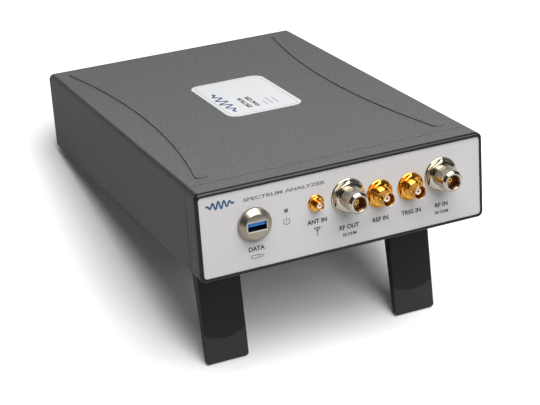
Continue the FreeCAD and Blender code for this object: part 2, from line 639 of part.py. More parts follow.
def rear_panel():
    body = piece("rear_panel")
    sketch = new_sketch(body, "XZ", REAR_INNER)
    rounded_rectangle(sketch, f"-{HALF} + {SPIGOT_INSET}", f"{LEDGE_TOP} + sheet_gap / 2",
                      f"{HALF} - {SPIGOT_INSET}", f"case_height - {SPIGOT_INSET}", "case_corner - cover_wall")
    pad(body, sketch, "rear_sheet", backwards=True)
    grille = new_sketch(body, "XZ", REAR_INNER)
    count = int(value("grille_slots"))
    for slot in range(count):
        rise = f"({slot} - (grille_slots - 1) / 2) * {GRILLE_PITCH}"
        half = f"({GRILLE_PITCH} - grille_bar) / 2"
        reach = f"sqrt(({FAN_BORE} - grille_margin) ^ 2 - (abs({rise}) + {half}) ^ 2)"
        rectangle(grille, f"fan_place - {reach}", f"fan_height + {rise} - {half}",
                  f"fan_place + {reach}", f"fan_height + {rise} + {half}")
    pocket(body, grille, "rear_sheet")
    inlet = new_sketch(body, "XZ", REAR_INNER)
    rectangle(inlet, "inlet_place - inlet_width / 2 - sheet_gap", "inlet_height - inlet_tall / 2 - sheet_gap",
              "inlet_place + inlet_width / 2 + sheet_gap", "inlet_height + inlet_tall / 2 + sheet_gap")
    pocket(body, inlet, "rear_sheet")
    drill_back(body, REAR_SCREWS + FAN_SCREWS, "screw_radius + screw_clear", REAR_INNER, REAR_FACE)


def top_label():
    body = piece("top_label")
    sketch = new_sketch(body, "XY", "case_height")
    rounded_rectangle(sketch, "label_offset - label_width / 2", "label_place - label_length / 2",
                      "label_offset + label_width / 2", "label_place + label_length / 2", "label_corner")
    pad(body, sketch, "label_film")


# ---------------------------------------------------------------- front ports
# Each coaxial port: the kind that names its sizes, and its centre.
PORTS = {
    "sma": ("sma", "(port_middle - 2 * port_pitch)", "port_height"),
    "type_n_left": ("n", "(port_middle - port_pitch)", "port_height"),
    "bnc_left": ("bnc", "port_middle", "bnc_height"),
    "bnc_right": ("bnc", "(port_middle + port_pitch)", "bnc_height"),
    "type_n_right": ("n", "(port_middle + 2 * port_pitch)", "port_height"),
}
COLLARS = {"sma": "sma_thread", "n": "n_thread", "bnc": "bnc_collar"}
FLANGE_BACK = f"({PANEL_BACK} + port_flange_rise)"
TAIL_BACK = f"({PANEL_BACK} + port_tail)"


def neck_radius(kind):
    """Radius of the plain neck under the nut and through the panel."""
    return f"({COLLARS[kind]} - thread_relief)"


def coaxial_port(name):
    """Shell, insulator and contact of one bulkhead socket, held by a flange behind the panel."""
    kind, x, z = PORTS[name]
    face = f"({PANEL_FRONT} - {kind}_reach)"
    floor = f"({face} + {kind}_seat)"
    nut_front = f"({PANEL_FRONT} - {kind}_nut_rise)"
    profile = [
        (face, f"{kind}_bore"),
        (face, f"{kind}_mouth"),
        (f"{face} + {kind}_bevel", f"{kind}_thread"),
    ]
    if kind == "bnc":
        collar_front = f"({nut_front} - bnc_collar_rise)"
        profile += [(collar_front, "bnc_thread"), (collar_front, "bnc_collar")]
    profile += [
        (nut_front, COLLARS[kind]),
        (nut_front, neck_radius(kind)),
        (PANEL_BACK, neck_radius(kind)),
        (PANEL_BACK, f"{kind}_flange"),
        (FLANGE_BACK, f"{kind}_flange"),
        (FLANGE_BACK, f"{kind}_tail"),
        (TAIL_BACK, f"{kind}_tail"),
        (TAIL_BACK, f"{kind}_insulator"),
        (floor, f"{kind}_insulator"),
        (floor, f"{kind}_bore"),
    ]
    shell = turned(name + "_shell", x, z, profile)
    if kind == "bnc":
        reach = "(bnc_thread + bnc_lug_reach)"
        wall = "(bnc_bore + bnc_thread) / 2"
        for sign in (-1, 1):
            lug = new_sketch(shell, "YZ", f"{x} + {sign} * {wall}", up=z)
            circles(lug, [(f"{face} + bnc_lug_back", "0")], "bnc_lug")
            pad(shell, lug, f"{reach} - {wall}", backwards=sign < 0)
    front = f"({face} + {kind}_insulator_front)"
    turned(name + "_insulator", x, z, [
        (front, f"{kind}_contact + bore_fit"),
        (front, f"{kind}_insulator - bore_fit"),
        (TAIL_BACK, f"{kind}_insulator - bore_fit"),
        (TAIL_BACK, f"{kind}_contact + bore_fit"),
    ])
    tip = f"({face} + {kind}_tip)"
    contact_back = f"({TAIL_BACK} + port_contact_tail)"
    turned(name + "_contact", x, z, [
        (tip, f"{kind}_socket"),
        (tip, f"{kind}_contact"),
        (contact_back, f"{kind}_contact"),
        (contact_back, "0"),
        (f"{tip} + contact_socket_depth", "0"),
        (f"{tip} + contact_socket_depth", f"{kind}_socket"),
    ])


def port_nuts(label, names):
    """Flanged hexagon nuts that clamp the sockets against the panel's front."""
    body = piece(label)
    kind = PORTS[names[0]][0]
    centres = [PORTS[name][1:] for name in names]
    front = f"({PANEL_FRONT} - {kind}_nut_rise)"
    flange = f"({PANEL_FRONT} - {kind}_washer_rise)"
    posts_back(body, centres, f"{kind}_washer", flange, PANEL_FRONT)
    sketch = new_sketch(body, "XZ", front)
    corner = f"{kind}_nut / 2 / cos(30)"
    for x, z in centres:
        polygon(sketch, [(f"{x} + {corner} * cos({60 * turn + 30})", f"{z} + {corner} * sin({60 * turn + 30})")
                         for turn in range(6)])
    pad(body, sketch, f"{flange} - {front}", backwards=True)
    drill_back(body, centres, f"{neck_radius(kind)} + bore_fit", front, PANEL_FRONT)


def usb_port():
    """Round ring with a rectangular slot, its steel shell and the contact tongue."""
    face = f"({PANEL_FRONT} - usb_reach)"
    tail = f"({PANEL_BACK} + usb_tail)"
    recess = f"({face} + usb_shell_recess)"
    lift = "(usb_height + usb_tongue_lift)"
    ring = turned("usb_ring", "usb_place", "usb_height", [
        (face, "0"),
        (face, "usb_face"),
        (f"{face} + usb_bevel", "usb_radius"),
        (PANEL_FRONT, "usb_radius"),
        (PANEL_FRONT, "usb_neck"),
        (tail, "usb_neck"),
        (tail, "0"),
    ])
    cut_slot(ring, face, tail, "0")
    shell = piece("usb_shell")
    add_slot_bar(shell, recess, "usb_depth", "sheet_gap / 2")
    cut_slot(shell, recess, "usb_depth", "usb_shell_wall + sheet_gap / 2")
    tongue = piece("usb_tongue")
    add_slot_bar(tongue, "usb_depth - usb_tongue_root", "usb_depth",
                 "usb_shell_wall + sheet_gap / 2 + bore_fit")
    block(tongue, "usb_place - usb_tongue_width / 2", f"{face} + usb_tongue_recess", lift,
          "usb_place + usb_tongue_width / 2", "usb_depth - usb_tongue_root / 2", f"{lift} + usb_tongue_height")


def slot_outline(sketch, inset):
    half, tall = f"(usb_slot_width / 2 - ({inset}))", f"(usb_slot_height / 2 - ({inset}))"
    rectangle(sketch, f"usb_place - {half}", f"usb_height - {tall}",
              f"usb_place + {half}", f"usb_height + {tall}")


def add_slot_bar(body, front, back, inset):
    sketch = new_sketch(body, "XZ", front)
    slot_outline(sketch, inset)
    pad(body, sketch, f"({back}) - ({front})", backwards=True)


def cut_slot(body, front, back, inset):
    sketch = new_sketch(body, "XZ", front)
    slot_outline(sketch, inset)
    pocket(body, sketch, f"({back}) - ({front})")


def power_lens():
    front = f"({PANEL_FRONT} - lens_rise)"
    tail = f"({PANEL_BACK} + lens_tail)"
    turned("power_lens", "lens_place", "lens_height", [
        (front, "0"),
        (front, "lens_radius - lens_bevel"),
        (PANEL_FRONT, "lens_radius"),
        (PANEL_BACK, "lens_radius"),
        (PANEL_BACK, "lens_radius + lens_shoulder"),
        (tail, "lens_radius + lens_shoulder"),
        (tail, "0"),
    ])


# ---------------------------------------------------------------- legs and feet
def leg_profile(body, sign):
    """Tapered blade seen from the side: a large knuckle and a small end joined by two straight faces."""
    sketch = new_sketch(body, "YZ", f"{sign} * {LEG_CENTRE} - leg_width / 2")
    knuckle = FreeCAD.Vector(value("leg_hinge_back"), -value("leg_hinge_drop"), 0)
    end = FreeCAD.Vector(value("leg_end_back"), -value("leg_end_drop"), 0)
    along = end - knuckle
    lean = math.atan2(along.y, along.x)
    splay = math.acos((value("leg_root") - value("leg_end")) / along.Length)
    up = FreeCAD.Vector(0, 0, 1)
    root_circle = Part.Circle(knuckle, up, value("leg_root"))
    end_circle = Part.Circle(end, up, value("leg_end"))
    arc_big = sketch.addGeometry(Part.ArcOfCircle(root_circle, lean + splay, lean - splay + 2 * math.pi), False)
    arc_small = sketch.addGeometry(Part.ArcOfCircle(end_circle, lean - splay, lean + splay), False)
    back_face = Part.LineSegment(sketch.getPoint(arc_big, 2), sketch.getPoint(arc_small, 1))
    front_face = Part.LineSegment(sketch.getPoint(arc_small, 2), sketch.getPoint(arc_big, 1))
    back = sketch.addGeometry(back_face, False)
    front = sketch.addGeometry(front_face, False)
    for one, one_end, two, two_end in ((arc_big, 2, back, 1), (back, 2, arc_small, 1),
                                       (arc_small, 2, front, 1), (front, 2, arc_big, 1)):
        sketch.addConstraint(Sketcher.Constraint("Tangent", one, one_end, two, two_end))
    hold(sketch, "DistanceX", arc_big, 3, to="leg_hinge_back")
    hold(sketch, "DistanceY", arc_big, 3, to="-leg_hinge_drop")
    hold(sketch, "DistanceX", arc_small, 3, to="leg_end_back")
    hold(sketch, "DistanceY", arc_small, 3, to="-leg_end_drop")
    hold(sketch, "Radius", arc_big, to="leg_root")
    hold(sketch, "Radius", arc_small, to="leg_end")
    pad(body, sketch, "leg_width")


def tip_split(body, sign, keep):
    """Cut the blade along the tip's dipped upper edge, keeping the part above or below it."""
    left = f"({sign} * {LEG_CENTRE} - leg_width / 2)"
    right = f"({sign} * {LEG_CENTRE} + leg_width / 2)"
    line = "(-leg_end_drop - leg_end + leg_tip_length)"
    radius = "((leg_width / 2) ^ 2 + leg_tip_dip ^ 2) / (2 * leg_tip_dip)"
    limit = "(-leg_end_drop - 2 * leg_end)" if keep == "above" else "leg_root"
    sketch = new_sketch(body, "XZ", "leg_end_back - 4 * leg_root")
    x0, x1, z, z_limit = (value(item) for item in (left, right, line, limit))
    arc = Part.Arc(FreeCAD.Vector(x0, z, 0), FreeCAD.Vector((x0 + x1) / 2, z - value("leg_tip_dip"), 0),
                   FreeCAD.Vector(x1, z, 0))
    curve = sketch.addGeometry(arc, False)
    first, last = (1, 2) if sketch.getPoint(curve, 1).x < sketch.getPoint(curve, 2).x else (2, 1)
    corners = [FreeCAD.Vector(x1, z, 0), FreeCAD.Vector(x1, z_limit, 0),
               FreeCAD.Vector(x0, z_limit, 0), FreeCAD.Vector(x0, z, 0)]
    lines = [sketch.addGeometry(Part.LineSegment(one, two), False) for one, two in zip(corners, corners[1:])]
    sketch.addConstraint(Sketcher.Constraint("Coincident", lines[0], 1, curve, last))
    sketch.addConstraint(Sketcher.Constraint("Coincident", lines[0], 2, lines[1], 1))
    sketch.addConstraint(Sketcher.Constraint("Coincident", lines[1], 2, lines[2], 1))
    sketch.addConstraint(Sketcher.Constraint("Coincident", lines[2], 2, curve, first))
    for index, end, x, height in ((curve, first, left, line), (curve, last, right, line),
                                  (lines[1], 1, right, limit), (lines[1], 2, left, limit)):
        hold(sketch, "DistanceX", index, end, to=x)
        hold(sketch, "DistanceY", index, end, to=height)
    hold(sketch, "Radius", curve, to=radius)
    pocket(body, sketch, LEG_THROUGH)


def leg(side, sign):
    blade = piece(side + "_leg")
    leg_profile(blade, sign)
    tip_split(blade, sign, "above")
    bore = new_sketch(blade, "YZ", f"{sign} * {LEG_CENTRE} + leg_width / 2")
    circles(bore, [("leg_hinge_back", "-leg_hinge_drop")], "hinge_pin + hinge_running")
    pocket(blade, bore, "leg_width")
    tip = piece(side + "_leg_tip")
    leg_profile(tip, sign)
    tip_split(tip, sign, "below")
    low = "(-leg_end_drop - leg_end)"
    corners = new_sketch(tip, "XZ", "leg_end_back - 4 * leg_root")
    for edge in (-1, 1):
        outer = f"{sign} * {LEG_CENTRE} + {edge} * (leg_width / 2 + bore_fit)"
        polygon(corners, [(outer, f"{low} - bore_fit"), (outer, f"{low} + leg_tip_corner"),
                          (f"{outer} - {edge} * leg_tip_corner", f"{low} - bore_fit")])
    pocket(tip, corners, LEG_THROUGH)


def leg_bracket(side, sign):
    """Stop bar with two ears that carry the hinge pin."""
    body = piece(side + "_leg_bracket")
    centre = f"{sign} * {LEG_CENTRE}"
    outer = f"({EAR_INNER} + ear_thickness)"
    block(body, f"{centre} - {outer}", STOP_FRONT, "-bracket_drop", f"{centre} + {outer}", STOP_BACK, "0")
    for edge in (-1, 1):
        inner = f"{centre} + {edge} * {EAR_INNER}"
        start = f"{inner} - {'ear_thickness' if edge < 0 else '0'}"
        ear = new_sketch(body, "YZ", start)
        rectangle(ear, f"{STOP_BACK} - 1", "-bracket_drop", "leg_hinge_back + leg_root", "0")
        pad(body, ear, "ear_thickness")
    bore = new_sketch(body, "YZ", f"{centre} + {outer}")
    circles(bore, [("leg_hinge_back", "-leg_hinge_drop")], "hinge_pin + bore_fit")
    pocket(body, bore, f"2 * {outer}")
    places = [place for place in BRACKET_SCREWS if place[0].startswith(sign + " ")]
    drill(body, places, "screw_radius + screw_clear", "-bracket_drop", "0")
    drill(body, places, "screw_head + head_clear", "-bracket_drop", "-bracket_seat")


def hinge_pin(side, sign):
    body = piece(side + "_hinge_pin")
    outer = f"({EAR_INNER} + ear_thickness)"
    sketch = new_sketch(body, "YZ", f"{sign} * {LEG_CENTRE} - {outer}")
    circles(sketch, [("leg_hinge_back", "-leg_hinge_drop")], "hinge_pin")
    pad(body, sketch, f"2 * {outer}")


def hinge_washers():
    """Four nylon friction washers, one each side of each leg."""
    body = piece("hinge_washers")
    for sign in SIDES.values():
        for edge in (-1, 1):
            near = "leg_width / 2 + washer_play" if edge > 0 else "-leg_width / 2 - hinge_side + washer_play"
            sketch = new_sketch(body, "YZ", f"{sign} * {LEG_CENTRE} + {near}")
            circles(sketch, [("leg_hinge_back", "-leg_hinge_drop")], "washer_radius")
            circles(sketch, [("leg_hinge_back", "-leg_hinge_drop")], "hinge_pin + hinge_running")
            pad(body, sketch, "hinge_side - 2 * washer_play")


def foot(name, x, y):
    body = piece(name + "_foot")
    posts(body, [(x, y)], "foot_radius", "-foot_drop", "0")
    low = -value("foot_drop")
    round_edges(body, "foot_round", lambda box: box.ZMax < low + 1e-6)
    drill(body, [(x, y)], "screw_radius + screw_clear", "-foot_drop", "0")
    drill(body, [(x, y)], "screw_head + head_clear", "-foot_drop", "-foot_seat")


def under_screws():
    """Eight equal pan head screws: one in each foot and two in each leg bracket."""
    body = piece("foot_and_bracket_screws")
    for places, seat in ((list(FOOT_PLACES.values()), "foot_seat"), (BRACKET_SCREWS, "bracket_seat")):
        posts(body, places, "screw_radius", f"-{seat}", f"-{seat} + screw_length")
        posts(body, places, "screw_head", f"-{seat} - screw_head_rise", f"-{seat}")
        drill(body, places, "screw_radius / 2", f"-{seat} - screw_head_rise", f"-{seat} - screw_head_rise / 2")


def cover_screws():
    body = piece("cover_screws")
    posts(body, COVER_SCREWS, "screw_radius", "0", f"{TRAY_TOP} + screw_proud")
    posts(body, COVER_SCREWS, "screw_head", "-screw_head_rise / 2", "0")


# ---------------------------------------------------------------- rear
REAR_SCREWS = [(f"{sign} * {REAR_SCREW_X}", z) for sign in SIDES.values() for z in REAR_SCREW_ZS]
FAN_SCREWS = [(f"fan_place + {dx} * {FAN_REACH}", f"fan_height + {dz} * {FAN_REACH}")
              for dx in (-1, 1) for dz in (-1, 1)]


def rear_panel_screws():
    body = piece("rear_panel_screws")
    posts_back(body, REAR_SCREWS, "screw_radius", f"{REAR_INNER} - tray_sheet - screw_proud", REAR_FACE)
    posts_back(body, REAR_SCREWS, "screw_head", REAR_FACE, f"{REAR_FACE} + screw_head_rise")


def fan_screws():
    body = piece("fan_screws")
    posts_back(body, FAN_SCREWS, "screw_radius", f"{REAR_INNER} - fan_depth", REAR_FACE)
    posts_back(body, FAN_SCREWS, "screw_head", REAR_FACE, f"{REAR_FACE} + screw_head_rise")


def fan_frame():
    """Square duct with a motor mount on three struts at its outer face."""
    body = piece("fan_frame")
    front = f"({REAR_INNER} - fan_depth)"
    sketch = new_sketch(body, "XZ", front)
    rounded_rectangle(sketch, "fan_place - fan_size / 2", "fan_height - fan_size / 2",
                      "fan_place + fan_size / 2", "fan_height + fan_size / 2", "fan_corner")
    pad(body, sketch, "fan_depth", backwards=True)
    drill_back(body, [("fan_place", "fan_height")], FAN_BORE, front, REAR_INNER)
    mount = f"({REAR_INNER} - fan_mount_depth)"
    posts_back(body, [("fan_place", "fan_height")], "fan_hub", mount, REAR_INNER)
    struts = new_sketch(body, "XZ", mount)
    inner, outer = "(fan_hub * 0.9)", f"({FAN_BORE} + fan_wall / 2)"
    for turn in (90, 210, 330):
        points = []
        for reach, across in ((inner, -1), (outer, -1), (outer, 1), (inner, 1)):
            points.append((f"fan_place + {reach} * cos({turn}) - {across} * fan_strut / 2 * sin({turn})",
                           f"fan_height + {reach} * sin({turn}) + {across} * fan_strut / 2 * cos({turn})"))
        polygon(struts, points)
    pad(body, struts, "fan_mount_depth", backwards=True)
    drill_back(body, [("fan_place", "fan_height")], "fan_shaft + hinge_running", mount, REAR_INNER)
    drill_back(body, FAN_SCREWS, "screw_radius + screw_clear", front, REAR_INNER)


def fan_rotor():
    """Hub, shaft and pitched blades, trimmed to the duct."""
    front = value(f"{REAR_INNER} - fan_depth + fan_play")
    back = value(f"{REAR_INNER} - fan_mount_depth - fan_play")
    axis = FreeCAD.Vector(0, 1, 0)
    centre = FreeCAD.Vector(value("fan_place"), 0, value("fan_height"))
    rotor_tip = value(FAN_BORE) - value("fan_tip_gap")
    hub = doc.addObject("Part::Cylinder", "fan_hub_drum")
    shaft = doc.addObject("Part::Cylinder", "fan_shaft_rod")
    trim = doc.addObject("Part::Cylinder", "fan_trim_drum")
    lie = FreeCAD.Rotation(FreeCAD.Vector(1, 0, 0), -90)
    hub.setExpression("Radius", cells("fan_hub"))
    hub.setExpression("Height", cells("fan_depth - fan_mount_depth - 2 * fan_play"))
    shaft.setExpression("Radius", cells("fan_shaft"))
    shaft.setExpression("Height", cells("fan_depth - fan_play"))
    trim.setExpression("Radius", cells(f"{FAN_BORE} - fan_tip_gap"))
    trim.setExpression("Height", cells("fan_depth - fan_mount_depth - 2 * fan_play"))
    for drum in (hub, shaft, trim):
        drum.Placement = FreeCAD.Placement(centre + axis * front, lie)
    blades = []
    count = int(value("fan_blades"))
    for index in range(count):
        blade = doc.addObject("Part::Box", f"fan_blade_{index}")
        blade.setExpression("Length", cells(FAN_BORE))
        blade.setExpression("Height", cells("fan_blade_thickness"))
        blade.Width = 2 * (back - front)
        pitch = FreeCAD.Rotation(FreeCAD.Vector(1, 0, 0), value("fan_blade_pitch"))
        middle = FreeCAD.Vector(0, back - front, value("fan_blade_thickness") / 2)
        root = FreeCAD.Vector(value("fan_hub") / 2, 0, 0)
        start = FreeCAD.Placement(root - pitch.multVec(middle), pitch)
        turn = FreeCAD.Rotation(axis, 360 * index / count)
        blade.Placement = FreeCAD.Placement(centre + axis * (front + back) / 2, turn).multiply(start)
        blades.append(blade)
    vanes = doc.addObject("Part::MultiFuse", "fan_vanes")
    vanes.Shapes = blades
    trimmed = doc.addObject("Part::Common", "fan_vanes_trimmed")
    trimmed.Base = vanes
    trimmed.Tool = trim
    rotor = doc.addObject("Part::MultiFuse", "fan_rotor")
    rotor.Shapes = [hub, shaft, trimmed]
    rotor.Label = "fan_rotor"
    PIECES.append(rotor)
    doc.recompute()
    if rotor.Shape.BoundBox.XLength > 2 * rotor_tip + 0.01:
        raise RuntimeError("fan_rotor: blades reach past the duct")


def power_inlet():
    """Three-pole mains inlet: a body through the rear panel, an outer flange and an open well."""
    body = piece("power_inlet")
    sketch = new_sketch(body, "XZ", f"{REAR_FACE} - inlet_deep")
    rectangle(sketch, "inlet_place - inlet_width / 2", "inlet_height - inlet_tall / 2",
              "inlet_place + inlet_width / 2", "inlet_height + inlet_tall / 2")
    pad(body, sketch, "inlet_deep", backwards=True)
    flange = new_sketch(body, "XZ", REAR_FACE)
    rounded_rectangle(flange, "inlet_place - inlet_width / 2 - inlet_flange",
                      "inlet_height - inlet_tall / 2 - inlet_lip",
                      "inlet_place + inlet_width / 2 + inlet_flange",
                      "inlet_height + inlet_tall / 2 + inlet_lip", "inlet_corner")
    pad(body, flange, "inlet_flange_rise", backwards=True)
    flange_back = f"({REAR_FACE} + inlet_flange_rise)"
    socket = new_sketch(body, "XZ", f"{flange_back} - inlet_well_depth")
    half, tall = "inlet_well_width / 2", "inlet_well_height / 2"
    polygon(socket, [
        (f"inlet_place - {half}", f"inlet_height - {tall}"),
        (f"inlet_place + {half}", f"inlet_height - {tall}"),
        (f"inlet_place + {half}", f"inlet_height + {tall} - inlet_well_cut"),
        (f"inlet_place + {half} - inlet_well_cut", f"inlet_height + {tall}"),
        (f"inlet_place - {half} + inlet_well_cut", f"inlet_height + {tall}"),
        (f"inlet_place - {half}", f"inlet_height + {tall} - inlet_well_cut"),
    ])
    pocket(body, socket, "inlet_well_depth")
    slots = new_sketch(body, "XZ", f"{REAR_FACE} - inlet_deep")
    pin_outlines(slots, "bore_fit")
    pocket(body, slots, "inlet_deep")
    ears = [(f"inlet_place + {sign} * (inlet_width + inlet_flange) / 2", "inlet_height") for sign in (-1, 1)]
    drill_back(body, ears, "screw_radius + screw_clear", REAR_FACE, flange_back)


INLET_PINS = [
    ("(inlet_place - inlet_pin_spread)", "(inlet_height - inlet_pin_rise)"),
    ("(inlet_place + inlet_pin_spread)", "(inlet_height - inlet_pin_rise)"),
    ("inlet_place", "(inlet_height + inlet_pin_rise)"),
]


def pin_outlines(sketch, space):
    """The three pins' sections, each grown all round by a space."""
    half, tall = f"(inlet_pin_width / 2 + {space})", f"(inlet_pin_height / 2 + {space})"
    for x, z in INLET_PINS:
        rectangle(sketch, f"{x} - {half}", f"{z} - {tall}", f"{x} + {half}", f"{z} + {tall}")


def power_inlet_pins():
    body = piece("power_inlet_pins")
    sketch = new_sketch(body, "XZ", f"{REAR_FACE} - inlet_deep - inlet_pin_tail")
    pin_outlines(sketch, "0")
    pad(body, sketch, "inlet_deep + inlet_pin_tail - inlet_pin_recess", backwards=True)


# ---------------------------------------------------------------- inside
def board_holes(left, front, width, length):
    return [(f"{left} + {x}", f"{front} + {y}") for x in ("hole_inset", f"{width} - hole_inset")
            for y in ("hole_inset", f"{length} - hole_inset")]


MAIN_HOLES = board_holes("-board_width / 2", "board_start", "board_width", BOARD_LENGTH)
SUPPLY_HOLES = board_holes(SUPPLY_LEFT, SUPPLY_FRONT, "supply_width", "supply_length")


def chassis_tray():
    """Folded steel tray with low flanges and two full-height rear columns."""
    body = piece("chassis_tray")
    block(body, f"-{TRAY_HALF}", TRAY_FRONT, LEDGE_TOP, TRAY_HALF, TRAY_BACK, TRAY_TOP)
    for sign in (-1, 1):
        outer, inner = (TRAY_HALF, f"{TRAY_HALF} - tray_sheet") if sign > 0 else \
            (f"-{TRAY_HALF} + tray_sheet", f"-{TRAY_HALF}")
        block(body, inner, TRAY_FRONT, TRAY_TOP, outer, TRAY_BACK, f"{TRAY_TOP} + tray_flange")
        left = f"{TRAY_HALF} - ear_column" if sign > 0 else f"-{TRAY_HALF}"
        block(body, left, f"{TRAY_BACK} - tray_sheet", TRAY_TOP, f"{left} + ear_column", TRAY_BACK,
              "case_height - cover_wall - column_gap")
    block(body, f"-{TRAY_HALF}", TRAY_FRONT, TRAY_TOP, TRAY_HALF, f"{TRAY_FRONT} + tray_sheet",
          f"{TRAY_TOP} + tray_flange / 2")
    drill(body, COVER_SCREWS + UNDER_SCREWS, "screw_radius + screw_clear", LEDGE_TOP, TRAY_TOP)
    drill_back(body, REAR_SCREWS, "screw_radius + screw_clear", f"{TRAY_BACK} - tray_sheet", TRAY_BACK)


def board_standoffs():
    body = piece("board_standoffs")
    posts(body, MAIN_HOLES + SUPPLY_HOLES, "standoff_radius", TRAY_TOP, BOARD_UNDER)
    drill(body, MAIN_HOLES + SUPPLY_HOLES, "screw_radius + bore_fit", TRAY_TOP, BOARD_UNDER)


def board_screws():
    body = piece("board_screws")
    holes = MAIN_HOLES + SUPPLY_HOLES
    posts(body, holes, "screw_radius", f"{BOARD_TOP} - standoff_height", BOARD_TOP)
    posts(body, holes, "screw_head", BOARD_TOP, f"{BOARD_TOP} + screw_head_rise")


def main_board():
    """Board with its row of memory chips."""
    body = piece("main_board")
    block(body, "-board_width / 2", "board_start", BOARD_UNDER, "board_width / 2", BOARD_BACK, BOARD_TOP)
    drill(body, MAIN_HOLES, "screw_radius + screw_clear", BOARD_UNDER, BOARD_TOP)
    left = "(sink_place + sink_width / 2 + chip_gap)"
    for place in range(int(value("chip_count"))):
        back = f"({BOARD_BACK} - chip_inset - {place} * chip_pitch)"
        block(body, left, f"{back} - chip_length", BOARD_TOP,
              f"{left} + chip_width", back, f"{BOARD_TOP} + chip_rise")


def screening_can(label, x, hole):
    """Thin lidded can on the main board; the jumper enters through a hole in its lid."""
    body = piece(label)
    left, right = f"({x} - can_width / 2)", f"({x} + can_width / 2)"
    block(body, left, "can_start", BOARD_TOP, right, CAN_BACK, f"{BOARD_TOP} + can_rise")
    sketch = new_sketch(body, "XY", BOARD_TOP)
    rectangle(sketch, f"{left} + can_wall", "can_start + can_wall",
              f"{right} - can_wall", f"{CAN_BACK} - can_wall")
    pocket(body, sketch, "can_rise - can_wall", backwards=True)
    drill(body, [(hole, JUMPER_DROP)], "jumper_radius + sheet_gap", f"{BOARD_TOP} + can_rise - can_wall",
          f"{BOARD_TOP} + can_rise")


def jumper(label, x):
    """Semi-rigid coaxial line: straight back from the socket, one bend, down through the can's lid."""
    body = piece(label)
    start = f"({TAIL_BACK} + port_contact_tail)"
    low = f"({BOARD_TOP} + can_rise - can_wall - jumper_entry)"
    path = new_sketch(body, "YZ", x)
    centre = FreeCAD.Vector(value(f"{JUMPER_DROP} - jumper_bend"), value("port_height - jumper_bend"), 0)
    bend = Part.ArcOfCircle(Part.Circle(centre, FreeCAD.Vector(0, 0, 1), value("jumper_bend")), 0, math.pi / 2)
    run = sketch_line(path, value(start), value("port_height"), centre.x, value("port_height"))
    arc = path.addGeometry(bend, False)
    drop = sketch_line(path, value(JUMPER_DROP), centre.y, value(JUMPER_DROP), value(low))
    path.addConstraint(Sketcher.Constraint("Horizontal", run))
    path.addConstraint(Sketcher.Constraint("Vertical", drop))
    path.addConstraint(Sketcher.Constraint("Tangent", run, 2, arc, 2))
    path.addConstraint(Sketcher.Constraint("Tangent", arc, 1, drop, 1))
    hold(path, "DistanceX", run, 1, to=start)
    hold(path, "DistanceY", run, 1, to="port_height")
    hold(path, "DistanceX", drop, 2, to=JUMPER_DROP)
    hold(path, "DistanceY", drop, 2, to=low)
    hold(path, "Radius", arc, to="jumper_bend")
    profile = new_sketch(body, "XZ", start)
    circles(profile, [(x, "port_height")], "jumper_radius")
    doc.recompute()
    pipe = body.newObject("PartDesign::AdditivePipe", label + "_pipe")
    pipe.Profile = profile
    pipe.Spine = path
    body.Tip = pipe
    doc.recompute()


def sketch_line(sketch, x0, z0, x1, z1):
    return sketch.addGeometry(Part.LineSegment(FreeCAD.Vector(x0, z0, 0), FreeCAD.Vector(x1, z1, 0)), False)


def heat_sink():
    body = piece("processor_heat_sink")
    left, front = "(sink_place - sink_width / 2)", f"((board_start + {BOARD_BACK} - sink_length) / 2)"
    base_top = f"({BOARD_TOP} + sink_base)"
    block(body, left, front, BOARD_TOP, f"{left} + sink_width", f"{front} + sink_length", base_top)
    fins = new_sketch(body, "XY", f"{base_top} - sink_base / 2")
    for index in range(int(value("sink_fins"))):
        start = f"{left} + {index} * (sink_width - sink_fin) / (sink_fins - 1)"
        rectangle(fins, start, front, f"{start} + sink_fin", f"{front} + sink_length")
    pad(body, fins, "sink_fin_rise + sink_base / 2")


def power_supply_board():
    """Board with its transformer, two reservoir capacitors and a heat spreader."""
    body = piece("power_supply_board")
    right, back = f"({SUPPLY_LEFT} + supply_width)", f"({SUPPLY_FRONT} + supply_length)"
    block(body, SUPPLY_LEFT, SUPPLY_FRONT, BOARD_UNDER, right, back, BOARD_TOP)
    drill(body, SUPPLY_HOLES, "screw_radius + screw_clear", BOARD_UNDER, BOARD_TOP)
    core_right, core_front = f"({right} - core_inset)", f"({SUPPLY_FRONT} + core_front)"
    block(body, f"{core_right} - core_width", core_front, BOARD_TOP, core_right, f"{core_front} + core_length",
          f"{BOARD_TOP} + core_rise")
    plate_left, plate_front = f"({SUPPLY_LEFT} + spreader_inset)", f"({SUPPLY_FRONT} + spreader_front)"
    block(body, plate_left, plate_front, BOARD_TOP, f"{plate_left} + spreader_sheet",
          f"{plate_front} + spreader_length", f"{BOARD_TOP} + spreader_rise")
    first = f"({SUPPLY_FRONT} + reservoir_front)"
    reservoirs = [(f"{SUPPLY_LEFT} + reservoir_inset", f"{first} + {place} * reservoir_pitch")
                  for place in (0, 1)]
    posts(body, reservoirs, "reservoir_radius", BOARD_TOP, f"{BOARD_TOP} + reservoir_rise")


